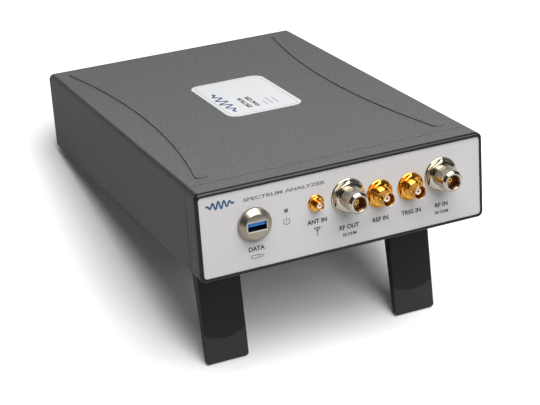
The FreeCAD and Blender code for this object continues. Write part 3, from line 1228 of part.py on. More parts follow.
# ---------------------------------------------------------------- build
front_bezel()
front_panel()
top_cover()
bottom_cover()
rear_panel()
top_label()
for port_name in PORTS:
    coaxial_port(port_name)
port_nuts("type_n_nuts", ["type_n_left", "type_n_right"])
port_nuts("bnc_nuts", ["bnc_left", "bnc_right"])
port_nuts("sma_nut", ["sma"])
usb_port()
power_lens()
for side_name, side_sign in SIDES.items():
    leg(side_name, side_sign)
    leg_bracket(side_name, side_sign)
    hinge_pin(side_name, side_sign)
hinge_washers()
for foot_name, (foot_x, foot_y) in FOOT_PLACES.items():
    foot(foot_name, foot_x, foot_y)
under_screws()
cover_screws()
rear_panel_screws()
fan_frame()
fan_rotor()
fan_screws()
power_inlet()
power_inlet_pins()
chassis_tray()
board_standoffs()
board_screws()
main_board()
GENERATOR = PORTS["type_n_left"][1]
RECEIVER = PORTS["type_n_right"][1]
screening_can("generator_screening_can", GENERATOR, GENERATOR)
screening_can("receiver_screening_can", "(board_width / 2 - can_width / 2 - can_edge)", RECEIVER)
jumper("generator_jumper", GENERATOR)
jumper("receiver_jumper", RECEIVER)
heat_sink()
power_supply_board()
doc.recompute()


def standing_placement():
    """Tilt the case onto its leg ends and rear feet, then centre it over the origin.

    The floor is the common tangent under two circles seen from the side: the leg's round end and the
    rounded lower rim of the rear foot.
    """
    leg_y, leg_z, leg_r = value("leg_end_back"), -value("leg_end_drop"), value("leg_end")
    rim = value("foot_round")
    foot_y = value(f"{REAR_FOOT_BACK} + foot_radius") - rim
    foot_z = rim - value("foot_drop")
    across, rise = foot_y - leg_y, foot_z - leg_z
    tilt = math.acos((rim - leg_r) / math.hypot(across, rise)) - math.atan2(across, rise)
    turn = FreeCAD.Rotation(FreeCAD.Vector(1, 0, 0), -math.degrees(tilt))
    tilted = FreeCAD.Placement(FreeCAD.Vector(0, 0, 0), turn)
    whole = FreeCAD.BoundBox()
    for item in PIECES:
        copy = item.Shape.copy()
        copy.transformShape(tilted.toMatrix())
        whole.add(copy.optimalBoundingBox(False, False))
    shift = FreeCAD.Vector(-(whole.XMin + whole.XMax) / 2, -(whole.YMin + whole.YMax) / 2, -whole.ZMin)
    print(f"tilt {math.degrees(tilt):.3f} deg, shift {shift.x:.3f} {shift.y:.3f} {shift.z:.3f} mm")
    return FreeCAD.Placement(shift, turn)


stand = standing_placement()
for item in PIECES:
    item.Placement = stand
doc.recompute()

for item in doc.Objects:
    if "Invalid" in item.State or "Error" in item.State:
        raise RuntimeError(f"{item.Label} did not build: {item.State}")
for item in PIECES:
    if item.Shape.isNull() or not item.Shape.isValid():
        raise RuntimeError(f"{item.Label} has no sound shape")

os.makedirs("parts", exist_ok=True)
for item in PIECES:
    item.Shape.exportStep(f"parts/{item.Label}.step")
print(f"{len(PIECES)} pieces written")
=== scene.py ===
import json
import math
from types import SimpleNamespace

import bpy
import numpy as np
from bpy.props import FloatProperty, FloatVectorProperty, PointerProperty, StringProperty
from bpy.types import Operator, Panel, PropertyGroup
from mathutils import Matrix, Vector


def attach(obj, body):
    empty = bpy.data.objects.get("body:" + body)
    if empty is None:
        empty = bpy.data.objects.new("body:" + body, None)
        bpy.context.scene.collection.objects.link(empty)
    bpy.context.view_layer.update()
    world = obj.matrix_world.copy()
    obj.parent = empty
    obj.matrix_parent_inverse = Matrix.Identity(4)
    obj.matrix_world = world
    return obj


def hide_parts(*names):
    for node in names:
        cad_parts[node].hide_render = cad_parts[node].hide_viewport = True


bl_info = {
    "name": "Bench Spectrum Analyzer",
    "version": (1, 0, 0),
    "blender": (4, 5, 0),
    "location": "View3D > Sidebar > Analyzer",
    "description": "Fine shapes, finishes and a studio for a bench spectrum analyzer",
    "category": "Object",
}

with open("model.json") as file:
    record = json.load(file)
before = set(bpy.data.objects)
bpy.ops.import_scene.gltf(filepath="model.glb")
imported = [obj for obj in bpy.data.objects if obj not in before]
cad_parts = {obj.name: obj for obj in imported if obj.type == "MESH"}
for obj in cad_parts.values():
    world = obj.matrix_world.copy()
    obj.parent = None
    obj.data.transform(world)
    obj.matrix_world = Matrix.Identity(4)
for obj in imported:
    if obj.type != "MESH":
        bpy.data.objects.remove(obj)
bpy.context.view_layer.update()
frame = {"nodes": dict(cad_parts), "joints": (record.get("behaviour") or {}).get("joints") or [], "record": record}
MM = 0.001
MATERIALS = {}

# coated sheet: pebble size and depth in millimetres; the band along the long upper edges where the coat is thin and
# smooth and its colour is darkened as painted shade; and the band where the coat is blackened at the front rim
GRAIN_MM = 1.1
GRAIN_DEPTH_MM = 0.4
SMOOTH_SHADED_EDGE_BAND = (2.6 * MM, 4.4 * MM)
# the dark colour of the painted shade along the long upper edges
EDGE_SHADE_COLOUR = "#2b2c2b"
RIM_DEPTH = 3.0 * MM
RIM_COLOUR = "#0d0d0e"
SCREEN_GREEN = "#0d4a26"

# sockets, screws and print, in millimetres
AXIS_RADIUS = 1e-3
THREAD_RELIEF = 0.4
COLLAR_LENGTH = 3.0
COLLAR_RIDGES = 3
LUG_BACK = 4.0
SMALL_THREAD_DEPTH = 0.25
FLANGE_RISE = 3.0
SCREW_HEAD = 2.8
SCREW_SHANK = 1.5
UNDER_SCREW_LENGTH = 11.4
FOOT_SCREW_SEAT = -5.0
BRACKET_SCREW_SEAT = -4.0
COVER_SCREW_LENGTH = 6.8
REAR_SCREW_LENGTH = 5.2
FAN_SCREW_LENGTH = 16.6
COVER_SCREW_INSET = 8.0
COVER_SCREW_END = 50.0
REAR_SCREW_INSET = 9.6
REAR_SCREW_EDGE = 12.0
BRACKET_SCREW_STEP = 11.0
FAN_SCREW_STEP = 20.0
INK_FILM = 0.02
LEGEND_HEIGHT = 3.1
LEGEND_LEVEL = 17.0

# studio: the floor's tone to the camera and to other rays, and the metres over which it fades to white
FLOOR_WHITE = "#fbfbfb"
FLOOR_BOUNCE = "#bababa"
FLOOR_GLOW = 0.02
FLOOR_FADE = (0.55, 1.5)
SURROUND = 0.11


# ---------- the tilted case's own axes
def node_points(node):
    """A CAD node's vertices as an array, in metres."""
    mesh = frame["nodes"][node].data
    points = np.empty(len(mesh.vertices) * 3)
    mesh.vertices.foreach_get("co", points)
    return points.reshape(-1, 3)


def case_axes():
    """Columns right, back and up of the pitched case: the fan's shaft runs straight back through it."""
    spin = next(joint for joint in frame["joints"] if joint["name"] == "fan_spin")
    back = np.array(spin["axis"], float)
    right = np.array((1.0, 0.0, 0.0))
    return np.stack([right, back, np.cross(right, back)], axis=1)


AXES = case_axes()
BEZEL_POINTS = node_points("front_bezel") @ AXES
CASE_START = AXES @ np.array([
    (BEZEL_POINTS[:, 0].min() + BEZEL_POINTS[:, 0].max()) / 2,
    BEZEL_POINTS[:, 1].min(),
    BEZEL_POINTS[:, 2].min(),
])
CASE_TILT = math.atan2(-AXES[2, 1], AXES[1, 1])
CASE_HALF_WIDTH = (BEZEL_POINTS[:, 0].max() - BEZEL_POINTS[:, 0].min()) / 2
CASE_HEIGHT = BEZEL_POINTS[:, 2].max() - BEZEL_POINTS[:, 2].min()


def place(points):
    """Case millimetres (right of the middle, back from the bezel face, up from the underside) to metres."""
    return CASE_START + (np.asarray(points, float) * MM) @ AXES.T


def part_box(node):
    """Lowest and highest corner of a CAD node along the case's axes, in case millimetres."""
    points = (node_points(node) - CASE_START) @ AXES / MM
    return points.min(axis=0), points.max(axis=0)


def part_centre(node):
    """The middle of a CAD node's box, in case millimetres."""
    low, high = part_box(node)
    return (low + high) / 2


# ---------- meshes
def link_object(name, data):
    """Make an object and put it in the scene."""
    made = bpy.data.objects.new(name, data)
    bpy.context.scene.collection.objects.link(made)
    return made


def new_piece(name, shape, slot, stands_for=(), finish=None, crease=32.0, body="case"):
    """Make a piece from case millimetres, smooth it between sharp edges, and ride it on its body.

    It wears the finish of its record slot, unless another finish is named.
    """
    points, faces = shape
    mesh = bpy.data.meshes.new(name)
    mesh.from_pydata(place(points), [], faces)
    mesh.validate()
    mesh.shade_smooth()
    mesh.set_sharp_from_angle(angle=math.radians(crease))
    mesh.materials.append(MATERIALS[finish or slot])
    piece = link_object(name, mesh)
    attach(piece, body)
    if stands_for:
        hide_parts(*stands_for)
    return piece


def loop_faces(rows, columns, close_rows=True, flip=False):
    """Quads of a grid whose columns close on themselves, and whose rows do too if asked."""
    row = np.arange(rows if close_rows else rows - 1)[:, None]
    column = np.arange(columns)[None, :]
    following_row = (row + 1) % rows
    following = (column + 1) % columns
    quads = np.stack([row * columns + column, row * columns + following,
                      following_row * columns + following, following_row * columns + column], axis=-1)
    quads = quads.reshape(-1, 4)
    return (quads[:, ::-1] if flip else quads).tolist()


def merge(*parts):
    """Join (points, faces) pairs into one."""
    points, faces, start = [], [], 0
    for part_points, part_faces in parts:
        points.append(np.asarray(part_points, float))
        faces += [[index + start for index in face] for face in part_faces]
        start += len(part_points)
    return np.concatenate(points), faces


def soften(profile, radius, steps=4):
    """Round each corner of a closed flat outline with a quadratic curve that starts at most radius from it."""
    profile = np.asarray(profile, float)
    before, after = np.roll(profile, 1, axis=0), np.roll(profile, -1, axis=0)
    back, ahead = before - profile, after - profile
    back_length = np.linalg.norm(back, axis=1, keepdims=True)
    ahead_length = np.linalg.norm(ahead, axis=1, keepdims=True)
    start = profile + back / back_length * np.minimum(radius, back_length * 0.45)
    end = profile + ahead / ahead_length * np.minimum(radius, ahead_length * 0.45)
    t = np.linspace(0, 1, steps)[None, :, None]
    curve = (1 - t) ** 2 * start[:, None] + 2 * t * (1 - t) * profile[:, None] + t ** 2 * end[:, None]
    return curve.reshape(-1, 2)


def round_angles(steps):
    """Angles evenly round a circle, from 0."""
    return np.linspace(0, 2 * math.pi, steps, endpoint=False)


def turned(centre, profile, steps=72):
    """Carry a closed outline of (back, radius) round a front-to-back axis: x = r cos a, z = r sin a."""
    profile = np.asarray(profile, float)
    angle = round_angles(steps)
    ring = np.stack([np.cos(angle), np.zeros(steps), np.sin(angle)], axis=1)
    points = profile[:, None, 1:2] * ring[None] + profile[:, None, 0:1] * np.array((0.0, 1.0, 0.0))
    points = points.reshape(-1, 3) + np.array([centre[0], 0.0, centre[1]])
    return points, loop_faces(len(profile), steps, flip=area_sign(profile) < 0)


def area_sign(profile):
    """Sign of an outline's area, which says which way round it runs."""
    x, y = profile[:, 0], profile[:, 1]
    return np.sign(np.sum(x * np.roll(y, -1) - y * np.roll(x, -1)))


def threaded(centre, profile, outer, first, last, pitch, depth, steps=72, per_turn=8):
    """A turned outline whose stretch between two distances carries a helical thread.

    On that stretch the radius falls by depth times a rounded tooth wave of (distance / pitch - turn),
    and the wave fades out over one pitch at both ends.
    """
    profile = np.asarray(profile, float)
    on_thread = np.isclose(profile[:, 1], outer, atol=0.02) & (profile[:, 0] < last + 1)
    index = int(np.flatnonzero(on_thread)[0])
    rows = int((last - first) / pitch * per_turn)
    stretch = np.stack([np.linspace(first, last, rows), np.full(rows, outer)], axis=1)
    if profile[(index + 1) % len(profile), 0] < profile[index, 0]:
        stretch = stretch[::-1]
    profile = np.concatenate([profile[:index + 1], stretch, profile[index + 1:]])
    points, faces = turned((0.0, 0.0), profile, steps)
    grid = points.reshape(len(profile), steps, 3)
    turn = np.linspace(0, 1, steps, endpoint=False)[None]
    wave = 0.5 - 0.5 * np.cos(2 * math.pi * (grid[:, :, 1] / pitch - turn))
    fade = np.clip(np.minimum(grid[:, :, 1] - first, last - grid[:, :, 1]) / pitch, 0, 1)
    radius = np.hypot(grid[:, :, 0], grid[:, :, 2])
    on_stretch = np.isclose(radius, outer, atol=0.02) & (grid[:, :, 1] > first) & (grid[:, :, 1] < last)
    scale = np.where(on_stretch, 1 - depth * wave ** 0.7 * fade / outer, 1.0)
    grid[:, :, 0] *= scale
    grid[:, :, 2] *= scale
    grid += np.array([centre[0], 0.0, centre[1]])
    return grid.reshape(-1, 3), faces


def hexagon(centre, flats, bore, front, back, steps=144):
    """A chamfered hexagon nut.

    Its outside is flats / 2 over the cosine of the angle from the nearest flat's middle, and the front
    chamfer is a 30 degree cone that takes the corners back.
    """
    angle = round_angles(steps)
    from_flat = ((angle + math.pi / 6) % (math.pi / 3)) - math.pi / 6
    hexed = flats / 2 / np.cos(from_flat)
    start = flats / 2 * 0.95
    slope = math.tan(math.radians(30))
    even = np.ones(steps)
    rings = [
        (bore * even, back * even),
        (bore * even, (front + 0.4) * even),
        ((bore + 0.4) * even, front * even),
        (start * even, front * even),
        (hexed - 0.12, front + (hexed - start) * slope - 0.05),
        (hexed, front + (hexed - start) * slope + 0.12),
        (hexed, back * even),
    ]
    points = np.concatenate([
        np.stack([centre[0] + r * np.cos(angle), y, centre[1] + r * np.sin(angle)], axis=1) for r, y in rings
    ])
    return points, loop_faces(len(rings), steps, flip=True)


def rounded_box_ring(width, height, radius, steps):
    """Points round a rounded rectangle, evenly shared between its four corners, counter-clockwise from +x."""
    quarter = steps // 4
    angle = (np.arange(steps) + 0.5) / quarter * (math.pi / 2)
    corner = np.floor(angle / (math.pi / 2)).astype(int) % 4
    signs = np.array([(1, 1), (-1, 1), (-1, -1), (1, -1)])[corner]
    middle = signs * np.array([width / 2 - radius, height / 2 - radius])
    return middle + radius * np.stack([np.cos(angle), np.sin(angle)], axis=1)


def skin(rings):
    """Close a stack of equal rings of points into a tube, with its two ends filled."""
    rows, steps = len(rings), len(rings[0])
    points = np.concatenate([np.asarray(ring, float) for ring in rings])
    faces = loop_faces(rows, steps, close_rows=False)
    faces.append(list(range(steps))[::-1])
    faces.append([(rows - 1) * steps + index for index in range(steps)])
    return points, faces


def outward(points, faces):
    """Turn a closed shape's faces round if they enclose a negative volume."""
    points = np.asarray(points, float)
    volume = 0.0
    for face in faces:
        corners = points[face]
        fan = np.cross(corners[1:-1], corners[2:])
        volume += float((fan @ corners[0]).sum())
    return (points, [list(face)[::-1] for face in faces]) if volume < 0 else (points, faces)


# ---------- materials
def linear(hex_colour):
    """An sRGB hex colour as linear RGBA."""
    parts = [int(hex_colour.lstrip("#")[i:i + 2], 16) / 255 for i in (0, 2, 4)]
    return tuple(c / 12.92 if c <= 0.04045 else ((c + 0.055) / 1.055) ** 2.4 for c in parts) + (1.0,)


def add(tree, kind, values=None, links=None, **settings):
    """Add one node, set its settings and its sockets' values, and link its inputs."""
    node = tree.nodes.new(kind)
    for key, setting in settings.items():
        setattr(node, key, setting)
    for key, number in (values or {}).items():
        node.inputs[key].default_value = number
    for key, source in (links or {}).items():
        tree.links.new(source, node.inputs[key])
    return node


def material(name, colour, roughness, metallic=0.0, values=None):
    """A Principled material with its constant values set directly."""
    made = bpy.data.materials.new(name)
    made.use_nodes = True
    made.diffuse_color = linear(colour)
    shader = made.node_tree.nodes["Principled BSDF"]
    shader.inputs["Base Color"].default_value = linear(colour)
    shader.inputs["Roughness"].default_value = roughness
    shader.inputs["Metallic"].default_value = metallic
    for key, number in (values or {}).items():
        shader.inputs[key].default_value = number
    return made, made.node_tree, shader


def case_coordinates(tree):
    """Object coordinates turned and moved into case metres: right, back, up."""
    coordinates = add(tree, "ShaderNodeTexCoord")
    moved = add(tree, "ShaderNodeVectorMath", operation="SUBTRACT",
                values={1: tuple(CASE_START)}, links={0: coordinates.outputs["Object"]})
    turned_back = add(tree, "ShaderNodeMapping", vector_type="POINT",
                      values={"Rotation": (CASE_TILT, 0.0, 0.0)}, links={"Vector": moved.outputs[0]})
    return turned_back.outputs["Vector"]


def start_finish(*basics, **values):
    """A material, its tree and its shader, with the case's own coordinates."""
    made, tree, shader = material(*basics, **values)
    return made, tree, shader, case_coordinates(tree)


def noise(tree, vector, size_mm, detail=3.0, roughness=0.55):
    """Cloudy noise whose lumps are size_mm across."""
    return add(tree, "ShaderNodeTexNoise", links={"Vector": vector},
               values={"Scale": 1 / (size_mm * MM), "Detail": detail, "Roughness": roughness})


def blend(tree, factor, first, second):
    """Blend two colours, each a socket or linear RGBA, by a factor."""
    ends = {"A": first, "B": second}
    fixed = {key: end for key, end in ends.items() if isinstance(end, tuple)}
    linked = {key: end for key, end in ends.items() if key not in fixed}
    node = add(tree, "ShaderNodeMix", data_type="RGBA", values=fixed, links={"Factor": factor, **linked})
    return node.outputs["Result"]


def varied(tree, shader, colour, vector, size_mm, spread):
    """Vary the base colour a little, by the share spread, with soft noise."""
    cloud = noise(tree, vector, size_mm)
    tone = linear(colour)
    darker = tuple(c * (1 - spread) for c in tone[:3]) + (1.0,)
    lighter = tuple(min(1.0, c * (1 + spread)) for c in tone[:3]) + (1.0,)
    result = blend(tree, cloud.outputs["Fac"], darker, lighter)
    tree.links.new(result, shader.inputs["Base Color"])
    return result


def roughness_between(tree, shader, source, low, high):
    """Spread the shader's roughness from low to high as the source goes from 0 to 1."""
    span = add(tree, "ShaderNodeMapRange", links={"Value": source}, values={"To Min": low, "To Max": high})
    tree.links.new(span.outputs["Result"], shader.inputs["Roughness"])


def bump(tree, shader, height, depth_mm, strength=1.0):
    """Raise the surface by up to depth_mm as the height goes from 0 to 1."""
    made = add(tree, "ShaderNodeBump", links={"Height": height},
               values={"Distance": depth_mm * MM, "Strength": strength})
    tree.links.new(made.outputs["Normal"], shader.inputs["Normal"])


def mask_between(tree, value_socket, low, high):
    """A smooth step of a socket from 0 at low to 1 at high."""
    return add(tree, "ShaderNodeMapRange", interpolation_type="SMOOTHSTEP", links={"Value": value_socket},
               values={"From Min": low, "From Max": high}).outputs["Result"]


def maths(tree, operation, first, second=None):
    """One arithmetic node; either input is a socket or a number."""
    node = add(tree, "ShaderNodeMath", operation=operation)
    for slot, item in enumerate((first, second)):
        if item is None:
            continue
        if isinstance(item, (int, float)):
            node.inputs[slot].default_value = item
        else:
            tree.links.new(item, node.inputs[slot])
    return node.outputs[0]


def smooth_edge_painted_shade(tree, vector):
    """1 along the case's long upper edges, where the coat is smooth and its colour is darkened as painted shade, else
    0; and the vector's parts.
    """
    spread = add(tree, "ShaderNodeSeparateXYZ", links={"Vector": vector})
    side = maths(tree, "SUBTRACT", CASE_HALF_WIDTH, maths(tree, "ABSOLUTE", spread.outputs["X"]))
    level = maths(tree, "SUBTRACT", CASE_HEIGHT, spread.outputs["Z"])
    return mask_between(tree, maths(tree, "ADD", side, level), SMOOTH_SHADED_EDGE_BAND[1], SMOOTH_SHADED_EDGE_BAND[0]), spread


def powder_coat(name, colour, rim=False):
    """Textured powder coat: sprayed and baked, it flows into a fine pebbled skin that scatters light softly."""
    made, tree, shader, vector = start_finish(name, colour, 0.6, values={"IOR": 1.5, "Specular IOR Level": 0.35})
    grain = noise(tree, vector, GRAIN_MM, detail=2.0)
    pebbles = add(tree, "ShaderNodeTexVoronoi", feature="SMOOTH_F1", links={"Vector": vector},
                  values={"Scale": 1 / (GRAIN_MM * 0.9 * MM), "Smoothness": 0.6})
    height = maths(tree, "ADD", grain.outputs["Fac"], pebbles.outputs["Distance"])
    # one mask along the long upper edges: a smoother coat there, and painted shade in its colour
    edge_smooth_and_shade, spread = smooth_edge_painted_shade(tree, vector)
    texture = maths(tree, "SUBTRACT", 1.0, edge_smooth_and_shade)
    tone = varied(tree, shader, colour, vector, GRAIN_MM * 1.6, 0.55)
    # painted shade: darken the coat's colour along the long upper edges
    result = blend(tree, edge_smooth_and_shade, tone, linear(EDGE_SHADE_COLOUR))
    if rim:
        front = mask_between(tree, spread.outputs["Y"], RIM_DEPTH * 1.25, RIM_DEPTH)
        result = blend(tree, front, result, linear(RIM_COLOUR))
        texture = maths(tree, "MULTIPLY", texture, maths(tree, "SUBTRACT", 1.0, front))
    tree.links.new(result, shader.inputs["Base Color"])
    bump(tree, shader, maths(tree, "MULTIPLY", height, texture), GRAIN_DEPTH_MM)
    roughness_between(tree, shader, texture, 0.38, 0.62)
    return made


def moulded(name, colour, roughness, grain_mm=0.35, depth_mm=0.02, spread=0.08, ior=1.49, gloss=0.5):
    """Injection-moulded plastic or rubber with the fine spark-eroded grain of its tool."""
    made, tree, shader, vector = start_finish(name, colour, roughness, values={"IOR": ior, "Specular IOR Level": gloss})
    varied(tree, shader, colour, vector, 9.0, spread)
    grain = noise(tree, vector, grain_mm, detail=2.0)
    bump(tree, shader, grain.outputs["Fac"], depth_mm)
    roughness_between(tree, shader, noise(tree, vector, 14.0).outputs["Fac"], roughness - 0.06, roughness + 0.08)
    return made


def plated(name, colour, roughness, spread=0.05, grain_mm=0.5, smear=0.06):
    """Plated metal: turned, then plated bright, so it mirrors its surroundings with a faint tool blur."""
    made, tree, shader, vector = start_finish(name, colour, roughness, metallic=1.0)
    varied(tree, shader, colour, vector, 3.0, spread)
    lines = add(tree, "ShaderNodeTexWave", wave_type="BANDS", bands_direction="Y", links={"Vector": vector},
                values={"Scale": 1 / (grain_mm * 6 * MM), "Distortion": 0.4, "Detail": 2.0})
    bump(tree, shader, lines.outputs["Fac"], 0.004, strength=0.5)
    roughness_between(tree, shader, noise(tree, vector, 2.0).outputs["Fac"], roughness, roughness + smear)
    return made


def rolled_sheet(name, colour, roughness, spangle_mm=6.0):
    """Rolled and zinc- or tin-coated sheet, with fine rolling lines and faint spangle."""
    made, tree, shader, vector = start_finish(name, colour, roughness, metallic=1.0)
    varied(tree, shader, colour, vector, spangle_mm, 0.12)
    stretched = add(tree, "ShaderNodeMapping", values={"Scale": (12.0, 1.0, 12.0)}, links={"Vector": vector})
    lines = noise(tree, stretched.outputs["Vector"], 4.0)
    bump(tree, shader, lines.outputs["Fac"], 0.01)
    roughness_between(tree, shader, lines.outputs["Fac"], roughness - 0.08, roughness + 0.1)
    return made


def printed_film(name, colour, roughness):
    """Satin printed film over a flat plate: very fine orange peel and a soft sheen."""
    made, tree, shader, vector = start_finish(name, colour, roughness, values={"IOR": 1.5})
    varied(tree, shader, colour, vector, 40.0, 0.02)
    bump(tree, shader, noise(tree, vector, 0.5).outputs["Fac"], 0.006)
    roughness_between(tree, shader, noise(tree, vector, 1.2).outputs["Fac"], roughness - 0.03, roughness + 0.06)
    return made


def circuit_board(name):
    """Glass-epoxy board under green solder resist: copper tracks show as lighter lanes."""
    made, tree, shader, vector = start_finish(name, SCREEN_GREEN, roughness=0.35, values={"IOR": 1.55})
    tracks = add(tree, "ShaderNodeTexBrick", links={"Vector": vector}, offset=0.5,
                 values={"Color1": linear(SCREEN_GREEN), "Color2": linear("#11552d"), "Mortar": linear("#1c6e3c"),
                         "Scale": 1 / (9 * MM), "Mortar Size": 0.03})
    tree.links.new(tracks.outputs["Color"], shader.inputs["Base Color"])
    bump(tree, shader, tracks.outputs["Fac"], 0.03)
    roughness_between(tree, shader, noise(tree, vector, 3.0).outputs["Fac"], 0.28, 0.42)
    return made


def make_materials(colours):
    """Every finish of the instrument, by its record slot."""
    lens, tree, shader, vector = start_finish("smoked_lens", colours.lens, 0.18, values={"IOR": 1.49})
    varied(tree, shader, colours.lens, vector, 1.0, 0.15)
    return {
        "cover_paint": powder_coat("textured_powder_coat", colours.coat),
        "bezel_paint": powder_coat("textured_coat_with_black_rim", colours.coat, rim=True),
        "rear_paint": powder_coat("textured_coat_rear", colours.coat),
        "panel_film": printed_film("satin_panel_film", colours.panel, 0.42),
        "label_vinyl": printed_film("white_vinyl", colours.label, 0.35),
        "leg_plastic": moulded("black_abs", colours.leg, 0.5, gloss=0.3),
        "leg_rubber": moulded("black_tpe_rubber", colours.rubber, 0.62, depth_mm=0.03, gloss=0.3),
        "foot_rubber": moulded("black_foot_rubber", colours.rubber, 0.7, depth_mm=0.03),
        "fan_plastic": moulded("black_glass_filled_pbt", "#1c1d1e", 0.5),
        "inlet_plastic": moulded("black_nylon_66", "#161617", 0.45),
        "nylon": moulded("natural_nylon", "#d9d6cb", 0.4),
        "ptfe": moulded("white_ptfe", "#f1eee6", 0.4, depth_mm=0.01),
        "usb_blue": moulded("blue_lcp", colours.tongue, 0.36),
        "nickel_plate": plated("bright_nickel", colours.nickel, 0.13),
        "gold_plate": plated("bright_gold", colours.gold, 0.14),
        "steel_pin": plated("ground_steel", "#b4b4b2", 0.22),
        "zinc_screw": plated("blackened_zinc", "#6d6e70", 0.3),
        "usb_steel": plated("rolled_nickel_silver", "#c9c9c7", 0.2),
        "standoff_brass": plated("nickelled_brass", "#bdb7a4", 0.25),
        "inlet_brass": plated("nickelled_contact", "#c6c3b8", 0.22),
        "jumper_copper": plated("tinned_copper_jacket", "#c7a27e", 0.25),
        "tray_steel": rolled_sheet("galvanised_steel", "#b9bcbc", 0.42),
        "can_tin": rolled_sheet("tin_plate", "#c6c7c4", 0.3, spangle_mm=18.0),
        "sink_aluminium": rolled_sheet("extruded_aluminium", "#c8cacb", 0.36, spangle_mm=30.0),
        "circuit_board": circuit_board("green_circuit_board"),
        "lens_plastic": lens,
        "satin_nickel": plated("satin_nickel", "#a39c8e", 0.3),
        "bore_liner": plated("bronze_bore_liner", "#8a5a34", 0.28),
        "dark_ink": printed_film("black_pad_ink", colours.ink, 0.5),
        "grey_ink": printed_film("grey_pad_ink", "#6a6b72", 0.5),
        "blue_ink": printed_film("blue_pad_ink", "#1e4a6e", 0.5),
    }


def dress_cad_nodes():
    """Give every carried CAD node its slot's finish."""
    slots = {item["node"]: item["material_slot"] for item in frame["record"]["subparts"]}
    for node, holder in frame["nodes"].items():
        holder.data.materials.clear()
        holder.data.materials.append(MATERIALS[slots[node]])


# ---------- front ports
PANEL_FACE = part_box("front_panel")[0][1]
PANEL_REAR = part_box("front_panel")[1][1]

# turned sizes of the three kinds of bulkhead socket, in millimetres
TYPE_N = SimpleNamespace(mouth=6.5, bore=4.9, bevel=1.8, thread=7.94, rise=3.8, collar=7.94, seat=10.0, core=3.6,
                         flange=10.5, tail=6.0, flats=21.0, washer=13.0, washer_rise=1.2)
BAYONET = SimpleNamespace(mouth=4.6, bore=4.05, bevel=0.5, thread=4.83, rise=3.0, collar=6.2, seat=9.0, core=2.4,
                          flange=8.0, tail=4.0, flats=17.0, washer=10.4, washer_rise=1.0)
SMALL = SimpleNamespace(mouth=2.9, bore=2.3, bevel=0.5, thread=3.175, rise=2.8, collar=3.175, seat=5.0, core=2.0,
                        flange=5.0, tail=2.6, flats=10.0, washer=6.2, washer_rise=0.6)


def shell_profile(node, kind):
    """Outline of a socket shell: mouth, bevel, barrel, ridged collar, neck, rear flange, tail and bore."""
    low, high = part_box(node)
    face, back = low[1], high[1]
    nut_front = PANEL_FACE - kind.rise
    neck = kind.collar - THREAD_RELIEF
    front = [(face, kind.bore + 0.35), (face, kind.mouth), (face + kind.bevel, kind.thread)]
    if kind.collar > kind.thread:
        collar_front = nut_front - COLLAR_LENGTH
        front += [(collar_front - 0.8, kind.thread), (collar_front, kind.collar - 0.5)]
        for ridge in range(COLLAR_RIDGES):
            start = collar_front + 0.3 + ridge * 0.9
            front += [(start, kind.collar), (start + 0.45, kind.collar), (start + 0.6, kind.collar - 0.35),
                      (start + 0.8, kind.collar - 0.35)]
    return np.array(front + [
        (nut_front, kind.collar), (nut_front, neck), (PANEL_REAR, neck), (PANEL_REAR, kind.flange),
        (PANEL_REAR + FLANGE_RISE, kind.flange), (PANEL_REAR + FLANGE_RISE, kind.tail), (back, kind.tail),
        (back, kind.core),
        (face + kind.seat, kind.core), (face + kind.seat, kind.bore), (face + 0.8, kind.bore),
    ])


def flanged_nut(spot, kind):
    """A hexagon nut on its own round, slightly dished flange."""
    bore = kind.collar - THREAD_RELIEF + 0.02
    face = PANEL_FACE - kind.washer_rise
    dish = min(0.5, kind.washer_rise * 0.5)
    flange = [(PANEL_FACE, bore), (PANEL_FACE, kind.washer), (face + dish, kind.washer), (face, kind.washer - 0.5),
              (face, kind.washer - 0.9), (face + dish, kind.washer - 1.7), (face + dish, bore)]
    nut = hexagon(spot, kind.flats, bore, PANEL_FACE - kind.rise, face + dish)
    return [turned(spot, soften(flange, 0.2)), nut]


class PortSettings(PropertyGroup):
    """Sizes of the coaxial sockets that a maker would change."""
    type_n_pitch: FloatProperty(
        name="Large Thread Pitch", description="Pitch of the large sockets' thread, in millimetres",
        default=1.058, min=0.3, max=3.0)
    small_pitch: FloatProperty(
        name="Small Thread Pitch", description="Pitch of the smallest socket's thread, in millimetres",
        default=0.706, min=0.3, max=2.0)
    thread_depth: FloatProperty(
        name="Thread Depth", description="Depth of the worn, rounded thread on the large sockets, in millimetres",
        default=0.14, min=0.05, max=0.6)


class FinishSettings(PropertyGroup):
    """Colours of the instrument's finishes, as sRGB hex text."""
    coat: StringProperty(name="Coat", description="Powder coat colour", default="#585a59")
    panel: StringProperty(name="Panel", description="Front panel film colour", default="#bab8b9")
    label: StringProperty(name="Label", description="Top label colour", default="#c8c9cb")
    ink: StringProperty(name="Ink", description="Printed legend colour", default="#17181b")
    leg: StringProperty(name="Leg", description="Leg plastic colour", default="#1c1c1d")
    rubber: StringProperty(name="Rubber", description="Rubber colour", default="#333334")
    tongue: StringProperty(name="Tongue", description="Data port tongue colour", default="#1b6fb4")
    lens: StringProperty(name="Lens", description="Power light lens colour", default="#58585a")
    nickel: StringProperty(name="Nickel", description="Nickel plating colour", default="#b9b2a3")
    gold: StringProperty(name="Gold", description="Gold plating colour", default="#d79f45")


class StudioSettings(PropertyGroup):
    """Camera lens, roll, eye and target."""
    lens: FloatProperty(
        name="Lens", description="Camera lens for a 36 mm sensor", unit="CAMERA", default=109.3, min=10, max=400)
    roll: FloatProperty(
        name="Roll", description="Camera roll about its view line", subtype="ANGLE", default=math.radians(4.07))
    eye: FloatVectorProperty(
        name="Eye", description="Camera place", subtype="TRANSLATION", unit="LENGTH",
        default=(-0.4576, -0.94305, 0.8203))
    target: FloatVectorProperty(
        name="Target", description="Point the camera looks at", subtype="TRANSLATION", unit="LENGTH",
        default=(-0.0571, -0.14935, 0.1474))


